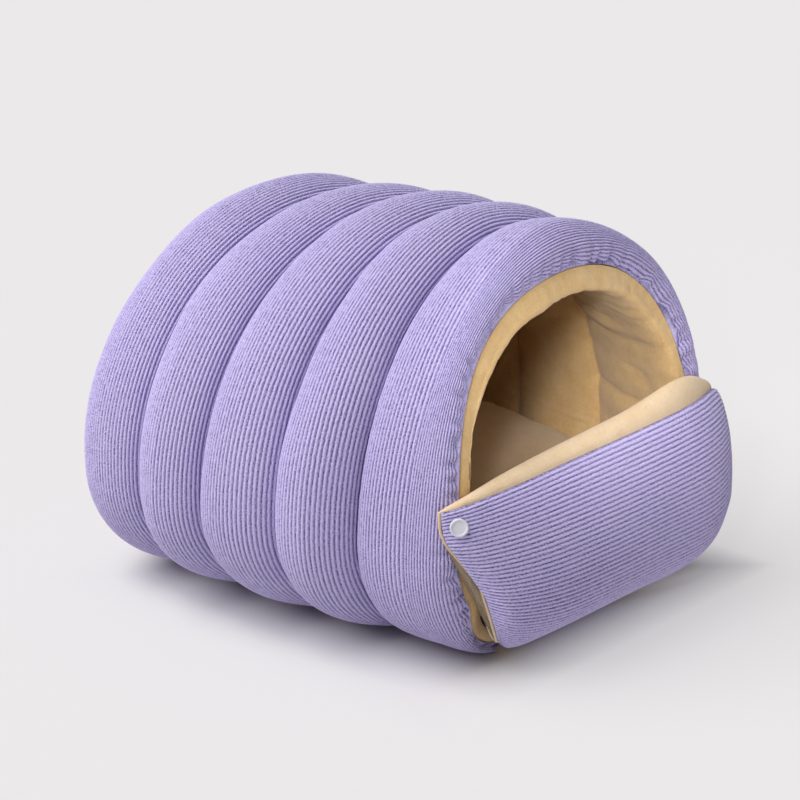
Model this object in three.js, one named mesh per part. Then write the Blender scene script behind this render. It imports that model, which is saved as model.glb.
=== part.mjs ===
// Dog cave bed: a quilted tunnel of lavender corduroy lined with cream fleece, closed by a domed
// back, with a stuffed cushion on its floor and a stuffed flap snapped up across the mouth.
// Millimetres, +Z up. The mouth faces -Y, X runs across the tunnel, and the origin is the middle
// of the underside.
import * as THREE from 'three';

// Five channels are sewn across the tunnel, from the back to the mouth. rear and front are the
// two seams of a channel along Y, and ring is its outline where it is fullest. A ring's shoulder
// rounds it over its widest level and its belly under it, and over 2 is squarer than an ellipse.
// bow is how much its sides come forward, and shift is how far it sits to the side.
const CHANNELS = [
  { rear: 194, front: 117, ring: ring(204, 312, 2.04, 2.55, -0.01, 0) },
  { rear: 117, front: 50, ring: ring(217, 315, 2.05, 2.35, 0.02, 0) },
  { rear: 50, front: -17, ring: ring(210, 321, 2.05, 2.3, 0.04, 0) },
  { rear: -17, front: -78, ring: ring(196, 325, 2.07, 2.35, 0.08, 1) },
  { rear: -78, front: -172, ring: ring(172, 326, 2.02, 2.5, 0.09, 8) },
];
const BACK_EDGE = ring(197, 304, 1.93, 2.55, -0.01, 0);
const MOUTH_EDGE = ring(166, 314, 2.25, 2.5, 0.03, 4);
// The seams sewn across the lining lean back between its foot and its top.
const LINING_SEAMS = [
  { foot: 194, top: 194 },
  { foot: 114, top: 120 },
  { foot: 29, top: 50 },
  { foot: -80, top: -32 },
];

// The tunnel is sunk a little so that it lies flat. It ends at BOTTOM_ANGLE from the middle of the
// underside, where it is sewn to the flat underside, and it leans forward with height.
const WIDEST_LEVEL = 117;
const FLOOR_SINK = 9;
const BOTTOM_ANGLE = 0.39;
const TOP_LEAN = 0.041;
const LEAN_LEVEL = 100;

// The wall: how far the outer seams lie under the fullest outline, how far the lining puffs into
// the cave at its sides and at its top, and the cloth at a seam. Stuffing is full from
// FULL_WALL_ANGLE up.
const OUTER_PUFF = 23.3;
const INNER_PUFF = { left: 0, top: 20, right: 14, reach: 4 };
const CLOTH = 2.2;
const GAP = 0.4;
const LINING_GAP = 0.8;
const FULL_WALL_ANGLE = 1.15;
const FLOOR_PUFF = 0.25;

// The front channel rolls round the mouth to the rim seam. The seam's place on the roll is a
// turn in degrees from its outer crest (0) over its foremost line (90) to its inner crest (180),
// given at the left foot, the left side, the top, the right side and the right foot. The mouth
// draws back at the floor and towards its top.
const ROLL_POWER = 2.6;
const RIM_SEAM = [84, 74, 78, 92, 92];
const MOUTH_TUCK = { floor: 17, top: 22, topFrom: 130, topTo: 300 };

// The back is stuffed both ways from its seam. A higher power is a flatter middle and a rounder
// edge, and the fleece side is inset from the lining.
const BACK_DOME = 36.5;
const BACK_DOME_POWER = 3.4;
const BACK_INNER_DOME = 17;
const BACK_INNER_POWER = 2;
const BACK_INNER_INSET = 8;

// The base panel lies between the bottom edges of the wall. It thins to edge over the outer share
// bevel.
const BASE = { rear: 193, front: -151, inset: 8.6, thickness: 9, edge: 4, bevel: 0.05 };

// The cushion follows the lining down from edgeAngle, and its top is crowned.
const CUSHION = {
  rear: 160, front: -131, edgeAngle: 1.14, edge: 13, crown: 19, endPower: 4, clearance: 0.8,
};

// The flap from its left edge to its right end. x and y place its back at half height, facing is
// how far it is turned from straight ahead, puff is its stuffing, setback is how far its foot is
// drawn back to the hinge, foot and seam are its lowest level and its top seam, drop is how far
// over the seam its curve would run out, and roll is how high the fleece stands over the seam.
const FLAP_COLUMNS = [
  { x: -133, y: -189, facing: -25, puff: 0, setback: 22, foot: 23, seam: 151, drop: 10, roll: 1 },
  { x: -119, y: -191, facing: -14, puff: 18, setback: 27, foot: 17, seam: 156, drop: 10, roll: 4 },
  { x: -84, y: -188, facing: -2, puff: 35, setback: 33, foot: 12, seam: 161, drop: 10, roll: 8 },
  { x: -30, y: -181, facing: 0, puff: 46, setback: 41, foot: 9, seam: 164, drop: 10, roll: 10 },
  { x: 40, y: -181, facing: 0, puff: 46, setback: 41, foot: 10, seam: 167, drop: 10, roll: 14 },
  { x: 99, y: -187, facing: 4, puff: 38, setback: 33, foot: 17, seam: 171, drop: 9, roll: 22 },
  { x: 139, y: -186, facing: 26, puff: 24, setback: 24, foot: 33, seam: 170, drop: 4, roll: 9 },
  { x: 164, y: -175, facing: 54, puff: 15, setback: 14, foot: 46, seam: 160, drop: 2, roll: 3 },
  { x: 179, y: -155, facing: 72, puff: 7, setback: 6, foot: 56, seam: 146, drop: 2, roll: 2 },
  { x: 185, y: -138, facing: 80, puff: 0, setback: 0, foot: 64, seam: 134, drop: 2, roll: 1 },
];
// The flap is fullest at FLAP_MIDDLE and is drawn back to its hinge under FLAP_TUCK_LEVEL. Its
// face holds FLAP_FACE_SHARE of the stuffing and its lining the rest, with FLAP_GAP between them.
const FLAP_MIDDLE = 79;
const FLAP_TUCK_LEVEL = 60;
const FLAP_FACE_SHARE = 0.5;
const FLAP_GAP = { foot: 2.2, seam: 0.6 };
const FLAP_LOWER_POWER = 1.6;
const FLAP_SEAM_POWER = 4;
// The fleece's curve over the flap's top edge: how far forward it stays full, and how far down
// the back it lands, both for each millimetre of the flap's depth there, and the least landing.
const FLAP_CREST = { fullness: 0.9, landing: 0.4, least: 1 };
// How far the flap's left and right ends are from upright at each level, and over how much of
// the width that fades out.
const FLAP_SLANT = [
  { level: 10, left: 34, right: 0 },
  { level: 45, left: 19, right: 0 },
  { level: 86, left: 4, right: 0 },
  { level: 130, left: -29, right: 0 },
  { level: 150, left: -30, right: -3 },
];
const FLAP_SLANT_REACH = 0.5;
const FLAP_SLANT_WRAP = 0.47;

// A press snap's cap stands off the face by lift. Its profile runs from the underside round the
// edge and down into the dish.
const SNAP = { radius: 7, level: 141.5, share: 0.071, lift: 0.45 };
const SNAP_PROFILE = [
  { inset: 0.6, height: 0 },
  { inset: 0, height: 0.8 },
  { inset: 0, height: 2.2 },
  { inset: 0.8, height: 3.4 },
  { inset: 1.9, height: 3.4 },
  { inset: 2.6, height: 2.7 },
];

// Steps of the facets.
const ROUND_STEPS = 36;
const CHANNEL_STEPS = 6;
const FRONT_STEPS = 5;
const ROLL_STEPS = 2;
const DOME_RINGS = 5;
const FLAP_STEPS = { across: 22, lower: 5, upper: 5, roll: 4 };
const CUSHION_STEPS = { along: 12, side: 5, middle: 4 };
const SNAP_STEPS = 20;
// The step along a curve, in its own measure, for reading its direction.
const TANGENT_STEP = 0.01;

const CORDUROY = { color: 0xa396dc, roughness: 0.9 };
const FLEECE = { color: 0xe3c692, roughness: 0.95 };
const WHITE_PLASTIC = { color: 0xf4f4f6, roughness: 0.35 };

function ring(halfWidth, height, shoulder, belly, bow, shift) {
  return { halfWidth, height, shoulder, belly, bow, shift };
}

function mix(a, b, t) {
  return a + (b - a) * t;
}

function clamp01(t) {
  return Math.min(1, Math.max(0, t));
}

function smooth(t) {
  const s = clamp01(t);
  return s * s * (3 - 2 * s);
}

// Evenly spaced shares from 0 to 1.
function shares(count) {
  return Array.from({ length: count + 1 }, (_, i) => i / count);
}

function signedPower(value, power) {
  return Math.sign(value) * Math.abs(value) ** power;
}

function indexedGeometry(points, index) {
  const geometry = new THREE.BufferGeometry().setFromPoints(points);
  geometry.setIndex(index);
  return geometry;
}

// Closed loops of points side by side, joined into a skin and closed at both ends. outline is
// the shape of a loop in its own plane, which says how the ends are filled.
function loftGeometry(loops, outline) {
  const size = outline.length;
  const index = [];
  for (let loop = 0; loop < loops.length - 1; loop += 1) {
    for (let i = 0; i < size; i += 1) {
      const a = loop * size + i;
      const b = loop * size + (i + 1) % size;
      index.push(a, b, b + size, a, b + size, a + size);
    }
  }
  const last = (loops.length - 1) * size;
  const turn = THREE.ShapeUtils.isClockWise(outline) ? 1 : -1;
  for (const triangle of THREE.ShapeUtils.triangulateShape(outline, [])) {
    const [a, b, c] = turn > 0 ? triangle : [...triangle].reverse();
    index.push(a, b, c, last + a, last + c, last + b);
  }
  return indexedGeometry(loops.flat(), index);
}

// A slab between two grids of the same size, an outside one and an inside one behind it. Seen
// from outside, rows go down and columns go right.
function slabGeometry(outside, inside) {
  const rows = outside.length;
  const columns = outside[0].length;
  const at = (layer, [row, column]) => (layer * rows + row) * columns + column;
  const index = [];
  const quad = (a, b, c, d) => index.push(a, b, c, a, c, d);
  for (let row = 0; row < rows - 1; row += 1) {
    for (let column = 0; column < columns - 1; column += 1) {
      const corners = [[row, column], [row + 1, column], [row + 1, column + 1], [row, column + 1]];
      quad(...corners.map((corner) => at(0, corner)));
      quad(...corners.reverse().map((corner) => at(1, corner)));
    }
  }
  const border = [];
  for (let column = 0; column < columns - 1; column += 1) border.push([0, column]);
  for (let row = 0; row < rows - 1; row += 1) border.push([row, columns - 1]);
  for (let column = columns - 1; column > 0; column -= 1) border.push([rows - 1, column]);
  for (let row = rows - 1; row > 0; row -= 1) border.push([row, 0]);
  border.forEach((from, i) => {
    const to = border[(i + 1) % border.length];
    quad(at(0, from), at(0, to), at(1, to), at(1, from));
  });
  return indexedGeometry([...outside.flat(), ...inside.flat()], index);
}

// A round lens: two stacks of rings from the rim to a middle point, joined at their rims.
function lensGeometry(outerRings, outerMiddle, innerRings, innerMiddle) {
  const size = outerRings[0].length;
  const points = [...outerRings.flat(), ...innerRings.flat(), outerMiddle, innerMiddle];
  const innerStart = outerRings.length * size;
  const outerTip = points.length - 2;
  const innerTip = points.length - 1;
  const index = [];
  const band = (from, to, flip) => {
    for (let i = 0; i < size; i += 1) {
      const j = (i + 1) % size;
      const quad = [from + i, from + j, to + j, to + i];
      const [a, b, c, d] = flip ? quad.reverse() : quad;
      index.push(a, b, c, a, c, d);
    }
  };
  for (let ring = 0; ring < outerRings.length - 1; ring += 1) {
    band(ring * size, (ring + 1) * size, false);
    band(innerStart + ring * size, innerStart + (ring + 1) * size, true);
  }
  band(0, innerStart, true);
  const outerLast = (outerRings.length - 1) * size;
  const innerLast = innerStart + outerLast;
  for (let i = 0; i < size; i += 1) {
    const j = (i + 1) % size;
    index.push(outerLast + i, outerLast + j, outerTip, innerLast + j, innerLast + i, innerTip);
  }
  return indexedGeometry(points, index);
}

// Angles run from the middle of the underside (0) up the -X side and over the top (PI).
function crestPoint(at, angle) {
  const upright = Math.cos(angle);
  const power = 2 / (upright < 0 ? at.shoulder : at.belly);
  const reach = upright < 0 ? at.height - WIDEST_LEVEL : -(WIDEST_LEVEL + FLOOR_SINK);
  return {
    x: -at.halfWidth * signedPower(Math.sin(angle), power),
    z: WIDEST_LEVEL + reach * Math.abs(upright) ** power,
  };
}

function crestNormal(at, angle) {
  const before = crestPoint(at, angle - TANGENT_STEP);
  const after = crestPoint(at, angle + TANGENT_STEP);
  const length = Math.hypot(after.x - before.x, after.z - before.z);
  return { x: -(after.z - before.z) / length, z: (after.x - before.x) / length };
}

function puffShare(angle) {
  const fromBottom = Math.min(angle, 2 * Math.PI - angle) - BOTTOM_ANGLE;
  return mix(FLOOR_PUFF, 1, smooth(fromBottom / (FULL_WALL_ANGLE - BOTTOM_ANGLE)));
}

// The fullest outline at any place along the tunnel, between the ones of the channels.
function ringAt(y) {
  const stations = [
    { y: CHANNELS[0].rear, ...BACK_EDGE },
    ...CHANNELS.map((channel) => ({ y: (channel.rear + channel.front) / 2, ...channel.ring })),
    { y: CHANNELS.at(-1).front, ...MOUTH_EDGE },
  ];
  const found = stations.findIndex((station) => station.y <= y);
  const next = found < 0 ? stations.length - 1 : Math.max(1, found);
  const [a, b] = [stations[next - 1], stations[next]];
  const t = clamp01((a.y - y) / (a.y - b.y));
  const mixed = Object.keys(MOUTH_EDGE).map((key) => [key, mix(a[key], b[key], t)]);
  return Object.fromEntries(mixed);
}

function leaned(at, x, y, z) {
  const lean = TOP_LEAN * (z - LEAN_LEVEL) + at.bow * Math.abs(x);
  return new THREE.Vector3(x + at.shift, y - lean, z);
}

// A point under the fullest outline: puffed depth follows the stuffing, which thins towards the
// floor, and cloth depth does not.
function wallPoint(at, y, angle, puffed, cloth, floor = 0) {
  const depth = puffed * puffShare(angle) + cloth;
  const crest = crestPoint(at, angle);
  const normal = crestNormal(at, angle);
  const z = Math.max(floor, crest.z - normal.z * depth);
  return leaned(at, crest.x - normal.x * depth, y, z);
}

// A station of the wall's section: y along the tunnel, puffed and cloth depth, and how much it
// belongs to the roll round the mouth, which is drawn back at the floor and at the top.
function station(y, puffed, cloth, roll = 0) {
  return { y, puffed, cloth, roll };
}

function stationPoint({ y, puffed, cloth, roll }, share) {
  const at = ringAt(y);
  const angle = mix(BOTTOM_ANGLE, 2 * Math.PI - BOTTOM_ANGLE, share);
  const { floor, top, topFrom, topTo } = MOUTH_TUCK;
  const rise = (crestPoint(at, angle).z - topFrom) / (topTo - topFrom);
  const tuck = roll * (floor * (1 - puffShare(angle)) + top * smooth(rise));
  return wallPoint(at, y + tuck, angle, puffed, cloth);
}

const LINING_CLOTH = 2 * CLOTH + LINING_GAP;
const FRONT = CHANNELS.at(-1);
const FRONT_MIDDLE = (FRONT.rear + FRONT.front) / 2;

function rimTurn(share) {
  const place = share * (RIM_SEAM.length - 1);
  const before = Math.min(Math.floor(place), RIM_SEAM.length - 2);
  const turn = mix(RIM_SEAM[before], RIM_SEAM[before + 1], smooth(place - before));
  return THREE.MathUtils.degToRad(turn);
}

// Where a turn round the front roll lies: y, and the level from 1 at the outer crest through 0
// at the foremost line to -1 at the inner crest.
function rollY(turn) {
  const reach = Math.max(0, Math.sin(turn)) ** (2 / ROLL_POWER);
  return FRONT_MIDDLE + (FRONT.front - FRONT_MIDDLE) * reach;
}

function rollLevel(turn) {
  return signedPower(Math.cos(turn), 2 / ROLL_POWER);
}

function innerPuff(share) {
  const { left, top, right, reach } = INNER_PUFF;
  return mix(share < 0.5 ? left : right, top, smooth(1 - reach * Math.abs(share - 0.5)));
}

function puffedAt(level, share) {
  return level >= 0 ? OUTER_PUFF * (1 - level) : OUTER_PUFF - innerPuff(share) * level;
}

// Half a channel from its rear seam to its fullest place is a quarter ellipse.
function channelTurns(channel, turns, makeStation) {
  const middle = (channel.rear + channel.front) / 2;
  const half = (channel.rear - channel.front) / 2;
  return turns.map((turn) => () => makeStation(middle + half * Math.cos(turn), Math.sin(turn)));
}

// A layer over all channels but the front one, then over the rear half of the front one. Each
// entry gives its station for a share of the way round the arch.
function rearStations(makeStation) {
  const turns = shares(CHANNEL_STEPS).map((t) => t * Math.PI);
  const whole = CHANNELS.slice(0, -1).flatMap((channel) => (
    channelTurns(channel, turns.slice(0, -1), makeStation)
  ));
  return [...whole, ...channelTurns(FRONT, turns.slice(0, CHANNEL_STEPS / 2 + 1), makeStation)];
}

function outerStations() {
  const rear = rearStations((y, puff) => station(y, puffedAt(puff), 0));
  const front = shares(FRONT_STEPS).slice(1).map((t) => (share) => {
    const turn = rimTurn(share) * t;
    return station(rollY(turn), puffedAt(rollLevel(turn), share), 0, t);
  });
  return [...rear, ...front];
}

// The stitched surface between the shell and the lining, which comes out at the rim seam.
function middleStations(cloth) {
  const rear = rearStations((y) => station(y, OUTER_PUFF, cloth));
  const front = shares(FRONT_STEPS).slice(1).map((t) => (share) => {
    const y = mix(FRONT_MIDDLE, rollY(rimTurn(share)), t);
    const rim = puffedAt(rollLevel(rimTurn(share)), share);
    return station(y, mix(OUTER_PUFF, rim, t ** 2), cloth, t);
  });
  return [...rear, ...front];
}

function liningSeamY(index, share) {
  const { foot, top } = LINING_SEAMS[index];
  return mix(foot, top, Math.sin(share * Math.PI));
}

function innerStations() {
  const turns = shares(CHANNEL_STEPS).map((t) => t * Math.PI);
  const whole = LINING_SEAMS.slice(1).flatMap((_, index) => turns.slice(0, -1).map((turn) => (
    (share) => {
      const y = mix(liningSeamY(index, share), liningSeamY(index + 1, share), (1 - Math.cos(turn)) / 2);
      return station(y, puffedAt(-Math.sin(turn), share), LINING_CLOTH);
    }
  )));
  const half = turns.slice(0, CHANNEL_STEPS / 2 + 1).map((turn) => (share) => {
    const y = mix(FRONT_MIDDLE, liningSeamY(LINING_SEAMS.length - 1, share), Math.cos(turn));
    return station(y, puffedAt(-Math.sin(turn), share), LINING_CLOTH);
  });
  const rear = [...whole, ...half];
  const front = shares(FRONT_STEPS + ROLL_STEPS).slice(1).map((t) => (share) => {
    const turn = mix(Math.PI, rimTurn(share), t);
    const cloth = mix(LINING_CLOTH, CLOTH + LINING_GAP + GAP, t);
    return station(rollY(turn), puffedAt(rollLevel(turn), share), cloth, t);
  });
  return [...rear, ...front];
}

// The wall between two layers of stations, swept round from one bottom edge to the other.
function wallGeometry(outer, inner) {
  const section = [...outer, ...inner.reverse()];
  const loops = shares(ROUND_STEPS).map((share) => (
    section.map((at) => stationPoint(at(share), share))
  ));
  const outline = section.map((at) => at(0)).map((s) => (
    new THREE.Vector2(s.y, s.puffed * FLOOR_PUFF + s.cloth)
  ));
  return loftGeometry(loops, outline);
}

function shellGeometry() {
  return wallGeometry(outerStations(), middleStations(CLOTH));
}

function liningGeometry() {
  return wallGeometry(middleStations(CLOTH + LINING_GAP), innerStations());
}

// One half of the back: a flat face at seamY and a dome of the given depth, towards +Y if depth
// is positive. Its rim lies under the fullest outline of the back edge.
function backGeometry(seamY, depth, power, puffed, cloth, floor) {
  const side = Math.sign(depth);
  const rim = shares(ROUND_STEPS + 2).slice(0, -1).map((share) => {
    const angle = share * 2 * Math.PI;
    const bound = Math.min(Math.max(angle, BOTTOM_ANGLE), 2 * Math.PI - BOTTOM_ANGLE);
    const point = wallPoint(BACK_EDGE, 0, bound, puffed, cloth, floor);
    const flat = wallPoint(BACK_EDGE, 0, angle, puffed, cloth, floor);
    return { x: angle === bound ? point.x : flat.x, z: angle === bound ? point.z : floor };
  });
  const at = (corner, share, y) => (
    leaned(BACK_EDGE, corner.x * share, y, mix(WIDEST_LEVEL, corner.z, share))
  );
  const ringShares = shares(DOME_RINGS).map((t) => Math.sin((1 - t) * Math.PI / 2)).slice(0, -1);
  const domeY = (share) => seamY + side * CLOTH + depth * (1 - share ** power);
  const dome = ringShares.map((share) => rim.map((corner) => at(corner, share, domeY(share))));
  const flat = ringShares.map((share) => rim.map((corner) => at(corner, share, seamY)));
  const tips = [at(rim[0], 0, domeY(0)), at(rim[0], 0, seamY)];
  return side > 0
    ? lensGeometry(dome, tips[0], flat, tips[1])
    : lensGeometry(flat, tips[1], dome, tips[0]);
}

function backPanelGeometry() {
  const seamY = CHANNELS[0].rear + GAP;
  return backGeometry(seamY, BACK_DOME, BACK_DOME_POWER, OUTER_PUFF, 0, 0);
}

function backLiningGeometry() {
  const cloth = LINING_CLOTH + BACK_INNER_INSET;
  const floor = BASE.thickness + 2 * GAP;
  const seamY = CHANNELS[0].rear;
  return backGeometry(seamY, -BACK_INNER_DOME, BACK_INNER_POWER, OUTER_PUFF, cloth, floor);
}

function basePanelGeometry() {
  const steps = [0, BASE.bevel, 0.5, 1 - BASE.bevel, 1];
  const onEdge = (t) => t === 0 || t === 1;
  const level = (across, along) => (
    onEdge(across) || onEdge(along) ? BASE.edge : BASE.thickness
  );
  const grid = (height) => steps.map((along) => steps.map((across) => {
    const y = mix(BASE.rear, BASE.front, along);
    const edge = ringAt(y);
    const halfWidth = -crestPoint(edge, BOTTOM_ANGLE).x - BASE.inset;
    const x = edge.shift + mix(-halfWidth, halfWidth, across);
    return new THREE.Vector3(x, y, height(across, along));
  }));
  return slabGeometry(grid(level), grid(() => 0));
}

// One row of the cushion: its underside follows the lining and the base, and its top is crowned.
function cushionRow(share) {
  const y = mix(CUSHION.rear, CUSHION.front, share);
  const at = ringAt(y);
  const cloth = LINING_CLOTH + CUSHION.clearance;
  const floor = BASE.thickness + GAP;
  const mirror = (x, t) => mix(x, 2 * at.shift - x, t);
  const side = shares(CUSHION_STEPS.side).map((t) => {
    const angle = mix(CUSHION.edgeAngle, BOTTOM_ANGLE, t);
    return wallPoint(at, y, angle, OUTER_PUFF + INNER_PUFF.right, cloth, floor);
  });
  const inner = side.at(-1);
  const middle = shares(CUSHION_STEPS.middle).slice(1, -1).map((t) => (
    new THREE.Vector3(mirror(inner.x, t), inner.y, floor)
  ));
  const mirrored = side.map((p) => new THREE.Vector3(mirror(p.x, 1), p.y, p.z)).reverse();
  const under = [...side, ...middle, ...mirrored];
  const end = 1 - Math.abs(2 * share - 1) ** CUSHION.endPower;
  const reach = at.shift - side[0].x;
  const over = under.map((p) => {
    const fullness = Math.sqrt(Math.max(0, 1 - ((p.x - at.shift) / reach) ** 2));
    const full = side[0].z + CUSHION.edge + CUSHION.crown * fullness;
    const z = mix(p.z + CUSHION.edge, full, Math.sqrt(end));
    return new THREE.Vector3(p.x, p.y, z);
  });
  return { under, over };
}

function floorCushionGeometry() {
  const rows = shares(CUSHION_STEPS.along).map(cushionRow);
  return slabGeometry(rows.map((row) => row.over), rows.map((row) => row.under));
}

// The flap's table read at any share of its width, along smooth curves.
const FLAP_KEYS = Object.keys(FLAP_COLUMNS[0]);
const flapCurve = new THREE.CubicInterpolant(
  shares(FLAP_COLUMNS.length - 1),
  FLAP_COLUMNS.flatMap((column) => FLAP_KEYS.map((key) => column[key])),
  FLAP_KEYS.length,
);

function flapColumn(share) {
  const values = [...flapCurve.evaluate(share)];
  const column = Object.fromEntries(FLAP_KEYS.map((key, i) => [key, values[i]]));
  return { ...column, share, puff: Math.max(0, column.puff), foot: Math.max(0, column.foot) };
}

// How far the flap is from upright at a level, at its left end and its right one.
function slantAt(level) {
  const found = FLAP_SLANT.findIndex((row) => row.level >= level);
  const next = found < 0 ? FLAP_SLANT.length - 1 : Math.max(1, found);
  const [a, b] = [FLAP_SLANT[next - 1], FLAP_SLANT[next]];
  const t = clamp01((level - a.level) / (b.level - a.level));
  return { left: mix(a.left, b.left, t), right: mix(a.right, b.right, t) };
}

// A point of the flap: out is its distance in front of the back of the flap.
function flapPoint(column, out, z) {
  const facing = THREE.MathUtils.degToRad(column.facing);
  const slant = slantAt(z);
  const left = slant.left * (1 - smooth(column.share / FLAP_SLANT_REACH));
  const right = slant.right * (1 - smooth((1 - column.share) / FLAP_SLANT_REACH));
  const back = column.setback * clamp01(1 - z / FLAP_TUCK_LEVEL) ** 2;
  const reach = out - back;
  return new THREE.Vector3(
    column.x + left + right + reach * Math.sin(facing),
    column.y + FLAP_SLANT_WRAP * Math.max(0, -left) - reach * Math.cos(facing),
    z,
  );
}

// How full the flap is at a level: none at its foot and most at its middle, and still rounded
// where the top seam cuts across it.
function flapFullness(column, z) {
  if (z < FLAP_MIDDLE) {
    const down = (FLAP_MIDDLE - z) / (FLAP_MIDDLE - column.foot);
    return Math.max(0, 1 - down ** FLAP_LOWER_POWER) ** (1 / FLAP_LOWER_POWER);
  }
  const up = (z - FLAP_MIDDLE) / (column.seam + column.drop - FLAP_MIDDLE);
  return Math.sqrt(Math.max(0, 1 - up ** 2));
}

function flapFaceOut(column, z) {
  return LINING_CLOTH + column.puff * flapFullness(column, z);
}

// The surface between the corduroy face and the fleece, which comes out to the top seam.
function flapMiddleOut(column, z) {
  const rise = (z - column.foot) / (column.seam - column.foot);
  const belowSeam = 1 - rise ** FLAP_SEAM_POWER;
  const stuffing = FLAP_FACE_SHARE * column.puff * flapFullness(column, z) * belowSeam;
  return flapFaceOut(column, z) - CLOTH - stuffing;
}

// Levels from the foot to the seam, close together where the flap turns under.
function flapLevels(column) {
  const lower = shares(FLAP_STEPS.lower).slice(0, -1).map((t) => (
    mix(FLAP_MIDDLE, column.foot, Math.cos(t * Math.PI / 2))
  ));
  const upper = shares(FLAP_STEPS.upper).map((t) => (
    mix(FLAP_MIDDLE, column.seam, Math.sin(t * Math.PI / 2))
  ));
  return [...lower, ...upper];
}

function flapFaceGeometry() {
  const columns = shares(FLAP_STEPS.across).map(flapColumn);
  const grid = (out) => columns.map((column) => (
    flapLevels(column).map((z) => flapPoint(column, out(column, z), z))
  ));
  return slabGeometry(grid(flapFaceOut), grid(flapMiddleOut));
}

// The fleece from the top seam over the roll to the level where it lies against the mouth, as
// distances in front of the back of the flap and levels.
function flapRoll(column) {
  const out = flapMiddleOut(column, column.seam) - FLAP_GAP.seam;
  // A curve of this kind rises to three quarters of the height of its handles.
  const handle = column.seam + column.roll * 4 / 3;
  const landing = column.seam - FLAP_CREST.landing * out - FLAP_CREST.least;
  const curve = new THREE.CubicBezierCurve(
    new THREE.Vector2(out, column.seam),
    new THREE.Vector2(FLAP_CREST.fullness * out, handle),
    new THREE.Vector2(0, handle),
    new THREE.Vector2(0, landing),
  );
  return curve.getPoints(FLAP_STEPS.roll);
}

// One section of the flap's lining: up the hidden middle surface, over the roll, down the back.
function flapLiningSection(column) {
  const front = flapLevels(column).slice(0, -1).map((z) => {
    const gap = mix(FLAP_GAP.foot, FLAP_GAP.seam, (z - column.foot) / (column.seam - column.foot));
    return new THREE.Vector2(flapMiddleOut(column, z) - gap, z);
  });
  const roll = flapRoll(column);
  const top = roll.at(-1).y;
  const back = shares(FLAP_STEPS.lower).slice(1).map((t) => (
    new THREE.Vector2(0, mix(top, column.foot, Math.sin(t * Math.PI / 2)))
  ));
  return [...front, ...roll, ...back];
}

function flapLiningGeometry() {
  const columns = shares(FLAP_STEPS.across).map(flapColumn).reverse();
  const loops = columns.map((column) => (
    flapLiningSection(column).map((p) => flapPoint(column, p.x, p.y))
  ));
  const outline = flapLiningSection(columns[0]).map((p) => new THREE.Vector2(-p.x, p.y));
  return loftGeometry(loops, outline);
}

function snapGeometry() {
  const wall = SNAP_PROFILE.map(({ inset, height }) => (
    new THREE.Vector2(SNAP.radius - inset, height)
  ));
  const underside = new THREE.Vector2(0, wall[0].y);
  const dish = new THREE.Vector2(0, wall.at(-1).y);
  return new THREE.LatheGeometry([underside, ...wall, dish], SNAP_STEPS);
}

function surface(name, geometry, { color, roughness }) {
  const material = new THREE.MeshStandardMaterial({ color, roughness, metalness: 0 });
  const mesh = new THREE.Mesh(geometry, material);
  mesh.name = name;
  return mesh;
}

// A snap sits square on the flap's face near one of its top corners.
function snapMesh(name, share) {
  const at = (z, place) => {
    const column = flapColumn(place);
    return flapPoint(column, flapFaceOut(column, z), z);
  };
  const { level, lift } = SNAP;
  const upward = at(level + 1, share).sub(at(level - 1, share));
  const across = at(level, share + TANGENT_STEP).sub(at(level, share - TANGENT_STEP));
  const normal = across.cross(upward).normalize();
  const mesh = surface(name, snapGeometry(), WHITE_PLASTIC);
  mesh.quaternion.setFromUnitVectors(new THREE.Vector3(0, 1, 0), normal);
  mesh.position.copy(at(level, share)).addScaledVector(normal, lift);
  return mesh;
}

const bed = new THREE.Group();
bed.add(
  surface('shell', shellGeometry(), CORDUROY),
  surface('lining', liningGeometry(), FLEECE),
  surface('back_panel', backPanelGeometry(), CORDUROY),
  surface('back_lining', backLiningGeometry(), FLEECE),
  surface('base_panel', basePanelGeometry(), CORDUROY),
  surface('floor_cushion', floorCushionGeometry(), FLEECE),
  surface('flap_face', flapFaceGeometry(), CORDUROY),
  surface('flap_lining', flapLiningGeometry(), FLEECE),
  snapMesh('snap_cap_left', SNAP.share),
  snapMesh('snap_cap_right', 1 - SNAP.share),
);

export default bed;
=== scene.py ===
"""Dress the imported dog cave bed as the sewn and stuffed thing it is.

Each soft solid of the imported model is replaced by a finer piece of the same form: padded
corduroy channels with their wales in relief, the fleece lining with its soft creases, a cushion
blown up by a cloth simulation, the stuffed flap and its press snaps. Shapes are worked out in
millimetres and stored in metres, +Z up, with the mouth towards -Y.
"""

from __future__ import annotations

import logging
from dataclasses import astuple, dataclass, replace
from enum import Enum
from typing import Mapping, Union

import bpy
import numpy as np
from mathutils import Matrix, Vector

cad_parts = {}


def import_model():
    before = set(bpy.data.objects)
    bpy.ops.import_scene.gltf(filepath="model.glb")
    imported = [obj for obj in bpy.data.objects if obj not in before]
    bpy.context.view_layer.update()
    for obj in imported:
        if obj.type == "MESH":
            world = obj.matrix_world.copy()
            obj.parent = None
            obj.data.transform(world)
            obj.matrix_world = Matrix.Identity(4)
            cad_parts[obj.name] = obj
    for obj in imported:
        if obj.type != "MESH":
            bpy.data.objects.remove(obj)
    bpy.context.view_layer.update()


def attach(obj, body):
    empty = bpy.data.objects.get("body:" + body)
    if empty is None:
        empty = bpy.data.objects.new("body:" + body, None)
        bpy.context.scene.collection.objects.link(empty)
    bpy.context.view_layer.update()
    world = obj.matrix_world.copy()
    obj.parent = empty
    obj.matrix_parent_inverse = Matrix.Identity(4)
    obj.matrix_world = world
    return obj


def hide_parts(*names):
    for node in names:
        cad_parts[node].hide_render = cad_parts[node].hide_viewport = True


Array = np.ndarray
Number = Union[float, Array]
Colour = tuple[float, float, float, float]

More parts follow.
